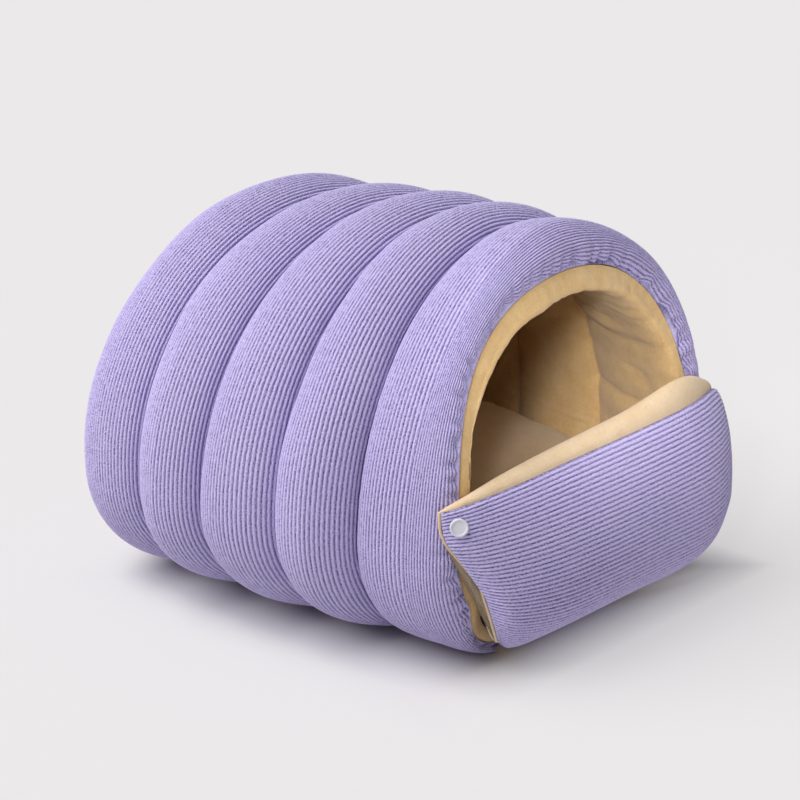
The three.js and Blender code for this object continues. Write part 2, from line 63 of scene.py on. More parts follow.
LOG = logging.getLogger("cave_bed")
MM = 0.001
UP = (0.0, 0.0, 1.0)
DOWN = (0.0, 0.0, -1.0)
FORWARD = (0.0, -1.0, 0.0)
BACKWARD = (0.0, 1.0, 0.0)
BODY = "root"
WEAVE_MAP = "Weave"
MERGE_DISTANCE = 0.00002
LEAST_LENGTH = 0.00002
FINE_STEPS = 721


class Slot(Enum):
    """Names for the kinds of material that the pieces wear."""

    CORDUROY = "corduroy"
    FLEECE = "fleece"
    SNAP = "snap"


def mix(low: Number, high: Number, share: Number) -> Number:
    """Return the value a share of the way from low to high."""
    return low + (high - low) * share


def smooth(share: Number) -> Number:
    """Return an eased step from 0 to 1, flat outside them."""
    held = np.clip(share, 0.0, 1.0)
    return held * held * (3 - 2 * held)


def signed_power(value: Number, power: Number) -> Number:
    """Return a power of a value that keeps the value's sign."""
    return np.sign(value) * np.abs(value) ** power


def arc_length(*coordinates: Array) -> Array:
    """Return the distance run along a line of points, starting from 0."""
    steps = np.sqrt(sum(np.diff(values) ** 2 for values in coordinates))
    return np.concatenate([[0.0], np.cumsum(steps)])


def raised(points: Array, relief: Array, outward: tuple[float, float, float]) -> Array:
    """Move a surface along its normals, but not through the floor.

    Args:
        points: Places as (rows, columns, 3).
        relief: How far to raise each point, as (rows, columns).
        outward: About where the middle of the surface faces.

    Returns:
        The new places.
    """
    normals = np.cross(np.gradient(points, axis=0), np.gradient(points, axis=1))
    length = np.linalg.norm(normals, axis=2, keepdims=True)
    middle = normals[points.shape[0] // 2, points.shape[1] // 2]
    side = np.sign(middle @ np.array(outward))
    moved = points + side * normals / np.maximum(length, LEAST_LENGTH) * relief[..., None]
    moved[..., 2] = np.maximum(0, moved[..., 2])
    return moved


def closed(outer: Array, inner: Array) -> Array:
    """Join the outer and inner columns of a form and come back to its first column."""
    return np.concatenate([outer, inner, outer[:, :1]], axis=1)


def woven(along: Array, count: Array, inner_columns: int) -> Array:
    """Return cloth coordinates for a closed form.

    Args:
        along: Wale pitches along the wales, of each row or point of the outer columns.
        count: Wales counted across, at each outer column or point.
        inner_columns: How many columns lie on the hidden side.

    Returns:
        Wale pitches along and wales across, as (rows, columns, 2).
    """
    pair = np.stack(np.broadcast_arrays(along, count), axis=-1)
    return np.concatenate([pair, np.repeat(pair[:, -1:], inner_columns + 1, axis=1)], axis=1)


@dataclass(frozen=True)
class Drift:
    """Smooth seeded unevenness, as cloth over loose stuffing has."""

    seed: int
    rows: int
    columns: int

    def at(self, down: Number, across: Number) -> Array:
        """Return the unevenness at shares of the surface.

        Args:
            down: Share from 0 to 1 along the rows.
            across: Share from 0 to 1 along the columns.

        Returns:
            Values from -1 to 1.
        """
        knots = np.random.default_rng(self.seed).uniform(-1, 1, (self.rows + 2, self.columns + 2))
        y, x = np.broadcast_arrays(
            np.clip(down, 0, 1) * self.rows, np.clip(across, 0, 1) * self.columns
        )
        row, column = y.astype(int), x.astype(int)
        ease_y, ease_x = smooth(y - row), smooth(x - column)
        near = mix(knots[row, column], knots[row, column + 1], ease_x)
        far = mix(knots[row + 1, column], knots[row + 1, column + 1], ease_x)
        return mix(near, far, ease_y)


@dataclass(frozen=True)
class Gathers:
    """Short tucks that a longer cloth makes where it is sewn to a shorter edge."""

    seed: int
    spacing: float
    width: float
    depth: float
    reach: float
    scatter: tuple[float, float] = (0.15, 0.85)
    depth_shares: tuple[float, float] = (0.35, 1.0)
    reach_shares: tuple[float, float] = (0.5, 1.2)

    def relief(self, along: Array, away: Array) -> Array:
        """Return how far the cloth is drawn in by the tucks.

        Args:
            along: Distance along the seam of each row, as (rows, 1).
            away: Distance from the seam of each point, as (rows, columns).

        Returns:
            Depths in millimetres, as (rows, columns).
        """
        draw = np.random.default_rng(self.seed)
        count = int(along.max() / self.spacing)
        spots = (np.arange(count) + draw.uniform(*self.scatter, count)) * self.spacing
        depths = self.depth * draw.uniform(*self.depth_shares, count)
        reaches = self.reach * draw.uniform(*self.reach_shares, count)
        total = np.zeros(np.broadcast_shapes(along.shape, away.shape))
        for spot, depth, reach in zip(spots, depths, reaches):
            total += depth * np.exp(-(((along - spot) / self.width) ** 2) - (away / reach) ** 2)
        return total


@dataclass(frozen=True)
class Wale:
    """The ribs of the corduroy: their pitch, their height, and the columns that draw one."""

    pitch: float = 3.3
    height: float = 1.0
    roundness: float = 0.75
    columns: int = 5

    def relief(self, count: Array) -> Array:
        """Return how far the pile stands up where that many wales have been counted."""
        return self.height * np.abs(np.sin(np.pi * count)) ** self.roundness

    def samples(self, run: Array, setting: Array, first: float = 0.0) -> tuple[Array, Array]:
        """Space a whole number of wales evenly along a line.

        Args:
            run: Distance run at each fine step of the line.
            setting: What the line is drawn by, at each fine step.
            first: The number of wales counted before this line.

        Returns:
            The setting at each column, and the wales counted up to it.
        """
        number = max(1, round(run[-1] / self.pitch))
        shares = np.linspace(0, 1, number * self.columns + 1)
        return np.interp(shares * run[-1], run, setting), first + shares * number


@dataclass(frozen=True)
class Ring:
    """The tunnel's fullest outline at one place along it, or at many."""

    half_width: Number
    height: Number
    shoulder: Number
    belly: Number
    bow: Number
    shift: Number


@dataclass(frozen=True)
class Channel:
    """One stuffed channel across the tunnel, between two seams along Y."""

    rear: float
    front: float
    ring: Ring

    @property
    def middle(self) -> float:
        """Return the place of the channel's fullest line."""
        return (self.rear + self.front) / 2

    @property
    def half(self) -> float:
        """Return half the channel's width."""
        return (self.rear - self.front) / 2


@dataclass(frozen=True)
class Tunnel:
    """The arch that the shell, the lining, the back and the cushion all follow."""

    channels: tuple[Channel, ...] = (
        Channel(194, 117, Ring(204, 312, 2.04, 2.55, -0.01, 0)),
        Channel(117, 50, Ring(217, 315, 2.05, 2.35, 0.02, 0)),
        Channel(50, -17, Ring(210, 321, 2.05, 2.3, 0.04, 0)),
        Channel(-17, -78, Ring(196, 325, 2.07, 2.35, 0.08, 1)),
        Channel(-78, -172, Ring(172, 326, 2.02, 2.5, 0.09, 8)),
    )
    back_edge: Ring = Ring(197, 304, 1.93, 2.55, -0.01, 0)
    mouth_edge: Ring = Ring(166, 314, 2.25, 2.5, 0.03, 4)
    lining_feet: tuple[float, ...] = (194, 114, 29, -80)
    lining_tops: tuple[float, ...] = (194, 120, 50, -32)
    widest_level: float = 117
    floor_sink: float = 9
    bottom_angle: float = 0.39
    top_lean: float = 0.041
    lean_level: float = 100
    full_wall_angle: float = 1.15
    floor_puff: float = 0.25
    outer_puff: float = 23.3
    inner_puff_left: float = 0
    inner_puff_top: float = 20
    inner_puff_right: float = 14
    inner_puff_reach: float = 4
    full_foot: tuple[float, float] = (0.21, 0.12)
    cloth: float = 2.2
    gap: float = 0.4
    lining_gap: float = 0.8
    roll_power: float = 2.6
    rim_seam: tuple[float, ...] = (92, 88, 76, 75, 78, 85, 92, 92, 92)
    tuck_floor: float = 23
    tuck_top: float = 22
    tuck_levels: tuple[float, float] = (130, 300)

    @property
    def front(self) -> Channel:
        """Return the channel that rolls round the mouth."""
        return self.channels[-1]

    @property
    def lining_cloth(self) -> float:
        """Return how deep the lining's cave side lies under the middle of the wall."""
        return 2 * self.cloth + self.lining_gap

    def angle(self, share: Number) -> Number:
        """Return the angle from the underside for a share of the way round the arch."""
        return mix(self.bottom_angle, 2 * np.pi - self.bottom_angle, share)

    def ring_at(self, y: Array) -> Ring:
        """Return the fullest outline at places along the tunnel."""
        stations = [(self.channels[0].rear, self.back_edge)]
        stations += [(channel.middle, channel.ring) for channel in self.channels]
        stations += [(self.front.front, self.mouth_edge)]
        places = [-place for place, _ in stations]
        columns = zip(*(astuple(ring) for _, ring in stations))
        return Ring(*(np.interp(-y, places, column) for column in columns))

    def crest(self, ring: Ring, angle: Number) -> tuple[Array, Array]:
        """Return x and z of the fullest outline at an angle."""
        upright = np.cos(angle)
        over = upright < 0
        power = np.where(over, ring.shoulder, ring.belly)
        drop = -(self.widest_level + self.floor_sink)
        reach = np.where(over, ring.height - self.widest_level, drop)
        x = -ring.half_width * signed_power(np.sin(angle), 2 / power)
        return x, self.widest_level + reach * np.abs(upright) ** (2 / power)

    def outward(self, ring: Ring, angle: Number, step: float = 0.01) -> tuple[Array, Array]:
        """Return x and z of the outline's outward direction at an angle."""
        before = self.crest(ring, angle - step)
        after = self.crest(ring, angle + step)
        dx, dz = after[0] - before[0], after[1] - before[1]
        length = np.hypot(dx, dz)
        return -dz / length, dx / length

    def puff_share(self, angle: Number) -> Number:
        """Return how full the wall is at an angle: thin at the floor and full above it."""
        low = np.minimum(angle, 2 * np.pi - angle) - self.bottom_angle
        return mix(self.floor_puff, 1, smooth(low / (self.full_wall_angle - self.bottom_angle)))

    def place(
        self, y: Number, share: Number, puffed: Number, cloth: Number, roll: Number = 0.0
    ) -> Array:
        """Return points of the wall.

        Args:
            y: Place along the tunnel, before it leans.
            share: Share of the way round the arch, from the -X foot.
            puffed: Depth under the fullest outline that thins with the stuffing.
            cloth: Depth that doesn't.
            roll: How far the point belongs to the roll round the mouth, from 0 to 1.

        Returns:
            Points in millimetres, with x, y and z last.
        """
        y, share, puffed, cloth, roll = np.broadcast_arrays(y, share, puffed, cloth, roll)
        ring = self.ring_at(y)
        angle = self.angle(share)
        x, z = self.crest(ring, angle)
        low, high = self.tuck_levels
        tuck = self.tuck_floor * (1 - self.puff_share(angle))
        tuck = tuck + self.tuck_top * smooth((z - low) / (high - low))
        depth = puffed * self.puff_share(angle) + cloth
        out_x, out_z = self.outward(ring, angle)
        x = x - out_x * depth
        z = np.maximum(0, z - out_z * depth)
        lean = self.top_lean * (z - self.lean_level) + ring.bow * np.abs(x)
        return np.stack([x + ring.shift, y + roll * tuck - lean, z], axis=-1)

    def rim_turn(self, share: Number) -> Array:
        """Return the turn on the roll at which the rim is sewn, in radians."""
        place = np.asarray(share) * (len(self.rim_seam) - 1)
        before = np.minimum(place.astype(int), len(self.rim_seam) - 2)
        seam = np.array(self.rim_seam)
        return np.radians(mix(seam[before], seam[before + 1], smooth(place - before)))

    def roll_y(self, turn: Number) -> Array:
        """Return where a turn round the front roll lies along Y."""
        reach = np.maximum(0, np.sin(turn)) ** (2 / self.roll_power)
        return mix(self.front.middle, self.front.front, reach)

    def roll_depth(self, turn: Number, share: Number) -> Array:
        """Return the puffed depth of a turn round the front roll."""
        level = signed_power(np.cos(turn), 2 / self.roll_power)
        return self.depth_at(level, share)

    def depth_at(self, level: Number, share: Number) -> Array:
        """Return the puffed depth of a level: 1 outside, 0 at the seams and -1 inside."""
        share = np.asarray(share)
        none, full = self.full_foot
        left = mix(self.inner_puff_right, self.inner_puff_left, smooth((share - full) / (none - full)))
        side = np.where(share < 0.5, left, self.inner_puff_right)
        near_top = smooth(1 - self.inner_puff_reach * np.abs(share - 0.5))
        inner = mix(side, self.inner_puff_top, near_top)
        return self.outer_puff - np.where(level >= 0, self.outer_puff, inner) * level

    def lining_seam(self, index: int, share: Array) -> Array:
        """Return where a seam across the lining lies along Y."""
        rise = np.sin(share * np.pi)
        return mix(self.lining_feet[index], self.lining_tops[index], rise)


class Value:
    """A shader socket that takes part in arithmetic."""

    def __init__(self, tree: "Tree", socket: bpy.types.NodeSocket) -> None:
        """Wrap a socket of a tree."""
        self.tree = tree
        self.socket = socket

    def _maths(self, operation: str, *operands: "Value | float") -> "Value":
        """Add a Math node on operands and return its result."""
        node = self.tree.node(
            "ShaderNodeMath", {"operation": operation}, dict(enumerate(operands))
        )
        return Value(self.tree, node.outputs[0])

    def __add__(self, other: "Value | float") -> "Value":
        """Return the sum."""
        return self._maths("ADD", self, other)

    __radd__ = __add__

    def __sub__(self, other: "Value | float") -> "Value":
        """Return the difference."""
        return self._maths("SUBTRACT", self, other)

    def __rsub__(self, other: "Value | float") -> "Value":
        """Return the difference with this value taken away."""
        return self._maths("SUBTRACT", other, self)

    def __mul__(self, other: "Value | float") -> "Value":
        """Return the product."""
        return self._maths("MULTIPLY", self, other)

    __rmul__ = __mul__

    def __pow__(self, other: "Value | float") -> "Value":
        """Return the power."""
        return self._maths("POWER", self, other)

    def __abs__(self) -> "Value":
        """Return the distance from 0."""
        return self._maths("ABSOLUTE", self)

    def greater(self, other: "Value | float") -> "Value":
        """Return the greater of two values."""
        return self._maths("MAXIMUM", self, other)

    def fraction(self) -> "Value":
        """Return what is left over a whole number."""
        return self._maths("FRACT", self)


class Tree:
    """The node tree of one material, with a Principled shader as its surface."""

    def __init__(self, name: str, constants: Mapping[str, object]) -> None:
        """Make the material.

        Args:
            name: The material's name.
            constants: What is the same all over the surface, by shader socket.
        """
        self.material = bpy.data.materials.new(name)
        self.material.use_nodes = True
        self.nodes = self.material.node_tree.nodes
        self.links = self.material.node_tree.links
        self.nodes.clear()
        self.shader = self.node("ShaderNodeBsdfPrincipled", {}, constants)
        self.node("ShaderNodeOutputMaterial", {}, {"Surface": self.shader.outputs["BSDF"]})

    def node(
        self, kind: str, settings: Mapping[str, object], values: Mapping[str | int, object]
    ) -> bpy.types.Node:
        """Add a node.

        Args:
            kind: The node's type.
            settings: Its own settings, set before its sockets.
            values: A number, a colour, a socket or a Value for each named input.

        Returns:
            The node.
        """
        node = self.nodes.new(kind)
        for key, setting in settings.items():
            setattr(node, key, setting)
        for key, value in values.items():
            self.feed(node.inputs[key], value)
        return node

    def feed(self, target: bpy.types.NodeSocket, value: object) -> None:
        """Link or set an input socket."""
        if isinstance(value, Value):
            value = value.socket
        if isinstance(value, bpy.types.NodeSocket):
            self.links.new(value, target)
        else:
            target.default_value = value

    def place(self) -> bpy.types.NodeSocket:
        """Return the place on the object, in metres."""
        return self.node("ShaderNodeTexCoord", {}, {}).outputs["Object"]

    def weave(self) -> tuple[Value, Value]:
        """Return the cloth coordinates: wale pitches along the wales, and wales counted."""
        uv = self.node("ShaderNodeUVMap", {"uv_map": WEAVE_MAP}, {})
        return self.parts(uv.outputs["UV"])

    def parts(self, vector: bpy.types.NodeSocket) -> tuple[Value, Value]:
        """Return the x and the y of a vector."""
        split = self.node("ShaderNodeSeparateXYZ", {}, {0: vector})
        return Value(self, split.outputs["X"]), Value(self, split.outputs["Y"])

    def joined(self, x: Value, y: Value) -> bpy.types.NodeSocket:
        """Return two values as a vector."""
        node = self.node("ShaderNodeCombineXYZ", {}, {"X": x, "Y": y})
        return node.outputs["Vector"]

    def noise(self, vector: bpy.types.NodeSocket, scale: float, detail: float = 2.0) -> Value:
        """Return noise from 0 to 1 over a vector."""
        node = self.node(
            "ShaderNodeTexNoise", {}, {"Vector": vector, "Scale": scale, "Detail": detail}
        )
        return Value(self, node.outputs["Fac"])

    def blend(self, share: Value | float, low: object, high: object) -> bpy.types.NodeSocket:
        """Return a blend of two colours by a share."""
        node = self.node("ShaderNodeMix", {"data_type": "RGBA"}, {})
        factor, first, second = (
            next(s for s in node.inputs if s.enabled and s.name == name)
            for name in ("Factor", "A", "B")
        )
        self.feed(factor, share)
        self.feed(first, low)
        self.feed(second, high)
        return next(s for s in node.outputs if s.enabled)

    def bump(self, height: Value, distance: float, strength: float) -> None:
        """Give the surface a relief that is too fine to model, distance in metres."""
        node = self.node(
            "ShaderNodeBump", {}, {"Height": height, "Distance": distance, "Strength": strength}
        )
        self.feed(self.shader.inputs["Normal"], node.outputs["Normal"])


@dataclass(frozen=True)
class CorduroyFinish:
    """Lavender wide-wale corduroy: a soft pile on the wales, and a dark colour between them that is
    partly the cloth's own and partly painted shade of the grooves.
    """

    pile: Colour = (0.55, 0.48, 0.81, 1)
    # Partly painted shade: this colour between the wales is darkened to stand for the shade in the
    # grooves.
    ground_and_groove_shade: Colour = (0.07, 0.045, 0.20, 1)
    worn: Colour = (0.68, 0.63, 0.90, 1)
    thread_scales: tuple[float, float] = (0.5, 0.7)
    wander: float = 0.3
    ridge_power: float = 0.6
    tuft_scale: float = 2.6
    fuzz_scale: float = 1100.0
    rub_scale: float = 16.0
    ridge_tone: float = 1.2
    tuft_tone: float = 0.9
    rub: float = 0.3
    fuzz_shade: float = 0.5
    worn_share: float = 0.14
    ridge_relief: float = 0.4
    tuft_relief: float = 1.4
    fuzz_relief: float = 0.5
    relief: float = 0.0011
    relief_strength: float = 0.9

    def material(self) -> bpy.types.Material:
        """Return the cloth's material."""
        tree = Tree(
            "corduroy",
            {
                "Roughness": 0.85,
                "Specular IOR Level": 0.15,
                "Sheen Weight": 0.35,
                "Sheen Roughness": 0.45,
                "Sheen Tint": (0.86, 0.84, 1.0, 1),
            },
        )
        along, across = tree.weave()
        slow, quick = self.thread_scales
        bend = tree.noise(tree.joined(along * slow, across * quick), 1.0, 2.0) - 0.5
        ridge = 1 - abs((across + bend * self.wander).fraction() * 2 - 1)
        pile = ridge**self.ridge_power
        tufts = tree.noise(tree.joined(along, across), self.tuft_scale, 1.0) - 0.5
        fuzz = tree.noise(tree.place(), self.fuzz_scale, 2.0) - 0.5
        rubbed = tree.noise(tree.place(), self.rub_scale, 3.0) - 0.5
        # Partly painted shade: the colour falls from the pile on the ridges to the darkened colour in
        # the grooves, and the tufts vary it at random.
        depth = pile * self.ridge_tone + tufts * self.tuft_tone - 0.05
        cloth = tree.blend(depth, self.ground_and_groove_shade, self.pile)
        shade = rubbed * self.rub + fuzz * self.fuzz_shade + tufts + self.worn_share
        tree.feed(tree.shader.inputs["Base Color"], tree.blend(shade, cloth, self.worn))
        height = pile * self.ridge_relief + tufts * self.tuft_relief + fuzz * self.fuzz_relief
        tree.bump(height, self.relief, self.relief_strength)
        return tree.material


@dataclass(frozen=True)
class Grain:
    """One size of unevenness in a cloth, and its share in the colour and in the relief."""

    scale: float
    detail: float
    tone: float
    relief: float


@dataclass(frozen=True)
class FleeceFinish:
    """Warm cream short-pile fleece, mottled where the pile lies differently."""

    name: str = "fleece"
    pile: Colour = (0.86, 0.63, 0.34, 1)
    root: Colour = (0.62, 0.37, 0.13, 1)
    strokes: Grain = Grain(70.0, 4.0, 0.7, 0.5)
    tufts: Grain = Grain(420.0, 3.0, 0.5, 0.9)
    curls: Grain = Grain(1300.0, 2.0, 0.35, 0.8)
    root_tone: float = -0.3
    relief: float = 0.0011
    relief_strength: float = 0.7

    def material(self) -> bpy.types.Material:
        """Return the fleece's material."""
        tree = Tree(
            self.name,
            {
                "Roughness": 0.95,
                "Specular IOR Level": 0.1,
                "Sheen Weight": 0.35,
                "Sheen Roughness": 0.5,
                "Sheen Tint": (1.0, 0.95, 0.88, 1),
            },
        )
        lie, height = self.root_tone, 0.0
        for grain in (self.strokes, self.tufts, self.curls):
            pattern = tree.noise(tree.place(), grain.scale, grain.detail)
            lie = lie + pattern * grain.tone
            height = height + pattern * grain.relief
        tree.feed(tree.shader.inputs["Base Color"], tree.blend(lie, self.root, self.pile))
        tree.bump(height, self.relief, self.relief_strength)
        return tree.material


@dataclass(frozen=True)
class SnapFinish:
    """White moulded plastic with a satin gloss and faint mould marks."""

    face: Colour = (0.68, 0.68, 0.73, 1)
    dulled: Colour = (0.57, 0.57, 0.64, 1)
    mark_scale: float = 500.0
    gloss: float = 0.22
    gloss_spread: float = 0.2
    relief: float = 0.0001
    relief_strength: float = 0.3

    def material(self) -> bpy.types.Material:
        """Return the plastic's material."""
        tree = Tree("snap_plastic", {"Specular IOR Level": 0.5, "Coat Weight": 0.15})
        marks = tree.noise(tree.place(), self.mark_scale, 3.0)
        tree.feed(tree.shader.inputs["Base Color"], tree.blend(marks, self.face, self.dulled))
        tree.feed(tree.shader.inputs["Roughness"], marks * self.gloss_spread + self.gloss)
        tree.bump(marks, self.relief, self.relief_strength)
        return tree.material


@dataclass(frozen=True)
class FloorFinish:
    """The matt pale studio floor, with painted light: it glows away from the bed to keep shadows pale,
    and near the bed the glow gives way to a brighter base colour.
    """

    near: Colour = (0.66, 0.645, 0.65, 1)
    far: Colour = (0.24, 0.235, 0.237, 1)
    glow: Colour = (0.53, 0.522, 0.522, 1)
    dark: Colour = (0.0, 0.0, 0.0, 1)
    near_reach: float = 0.16
    far_reach: float = 0.22

    def material(self) -> bpy.types.Material:
        """Return the floor's material."""
        tree = Tree(
            "studio_floor",
            {"Roughness": 0.9, "Specular IOR Level": 0.0, "Emission Strength": 1.0},
        )
        x, y = tree.parts(tree.place())
        distance = abs(x).greater(abs(y))
        away = (distance - self.near_reach) * (1 / (self.far_reach - self.near_reach))
        # Painted light: the glow rises away from the bed as the base colour dims, so the open floor
        # stays even while its shadows are lifted.
        tree.feed(tree.shader.inputs["Base Color"], tree.blend(away, self.near, self.far))
        tree.feed(tree.shader.inputs["Emission Color"], tree.blend(away, self.dark, self.glow))
        return tree.material


def deselect_all() -> None:
    """Clear the selection, so that an operator acts on the new piece alone."""
    for shown in list(bpy.context.selected_objects):
        shown.select_set(False)


def pick(piece: bpy.types.Object) -> None:
    """Select one piece and make it active."""
    deselect_all()
    piece.select_set(True)
    bpy.context.view_layer.objects.active = piece


def mesh_points(piece: bpy.types.Object) -> Array:
    """Return the places of a piece's vertices in millimetres."""
    flat = np.empty(len(piece.data.vertices) * 3, np.float32)
    piece.data.vertices.foreach_get("co", flat)
    return flat.reshape(-1, 3).astype(float) / MM


def move_points(piece: bpy.types.Object, points: Array) -> None:
    """Move a piece's vertices to places in millimetres."""
    piece.data.vertices.foreach_set("co", (points * MM).ravel())
    piece.data.update()


def edit(piece: bpy.types.Object, *steps: tuple[str, dict]) -> None:
    """Run mesh operators on all of a piece in edit mode.

    Args:
        piece: The piece.
        steps: An operator's name in bpy.ops.mesh and its settings, in order.
    """
    pick(piece)
    bpy.ops.object.mode_set(mode="EDIT")
    for operator, settings in steps:
        bpy.ops.mesh.select_all(action="SELECT")
        getattr(bpy.ops.mesh, operator)(**settings)
    bpy.ops.object.mode_set(mode="OBJECT")


def grid_form(name: str, points: Array, weave: Array) -> bpy.types.Object:
    """Shape a grid primitive into a closed form.

    Args:
        name: The piece's name.
        points: Places in millimetres as (rows, columns, 3). The first and the last column meet.
        weave: Cloth coordinates as (rows, columns, 2).

    Returns:
        The piece, closed, with its faces outwards.
    """
    rows, columns = points.shape[:2]
    deselect_all()
    bpy.ops.mesh.primitive_grid_add(x_subdivisions=columns - 1, y_subdivisions=rows - 1, size=2)
    piece = bpy.context.object
    piece.name = piece.data.name = name
    place = mesh_points(piece) * MM
    column = np.rint((place[:, 0] + 1) / 2 * (columns - 1)).astype(int)
    row = np.rint((place[:, 1] + 1) / 2 * (rows - 1)).astype(int)
    move_points(piece, points[row, column])
    corners = np.empty(len(piece.data.loops), np.int32)
    piece.data.loops.foreach_get("vertex_index", corners)
    layer = piece.data.uv_layers[0]
    layer.name = WEAVE_MAP
    layer.data.foreach_set("uv", weave[row[corners], column[corners]].astype(np.float32).ravel())
    edit(
        piece,
        ("remove_doubles", {"threshold": MERGE_DISTANCE}),
        ("fill_holes", {"sides": 0}),
        ("normals_make_consistent", {"inside": False}),
    )
    pick(piece)
    bpy.ops.object.shade_smooth()
    return piece


def node_form(name: str, node: str, levels: int) -> bpy.types.Object:
    """Copy a node's mesh as one closed skin and round it off.

    Args:
        name: The new piece's name.
        node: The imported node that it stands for.
        levels: Levels of subdivision.

    Returns:
        The piece.
    """
    source = bpy.data.objects[node]
    piece = bpy.data.objects.new(name, source.data.copy())
    piece.data.name = name
    bpy.context.collection.objects.link(piece)
    piece.data.materials.clear()
    edit(
        piece,
        ("remove_doubles", {"threshold": MERGE_DISTANCE}),
        ("tris_convert_to_quads", {"face_threshold": 1.0, "shape_threshold": 1.0}),
        ("normals_make_consistent", {"inside": False}),
    )
    if levels:
        subdivide(piece, levels)
    pick(piece)
    bpy.ops.object.shade_smooth()
    return piece


def subdivide(piece: bpy.types.Object, levels: int) -> None:
    """Subdivide a piece smoothly and apply it."""
    pick(piece)
    modifier = piece.modifiers.new("rounding", "SUBSURF")
    modifier.levels = modifier.render_levels = levels
    bpy.ops.object.modifier_apply(modifier=modifier.name)


def dress(
    piece: bpy.types.Object, material: bpy.types.Material, slot: Slot, *nodes: str
) -> bpy.types.Object:
    """Give a piece its material, hang it under the body, and hide the imported nodes it stands for."""
    piece.data.materials.append(material)
    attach(piece, BODY)
    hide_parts(*nodes)
    LOG.info("%s: %d faces, for %s", piece.name, len(piece.data.polygons), ", ".join(nodes))
    return piece


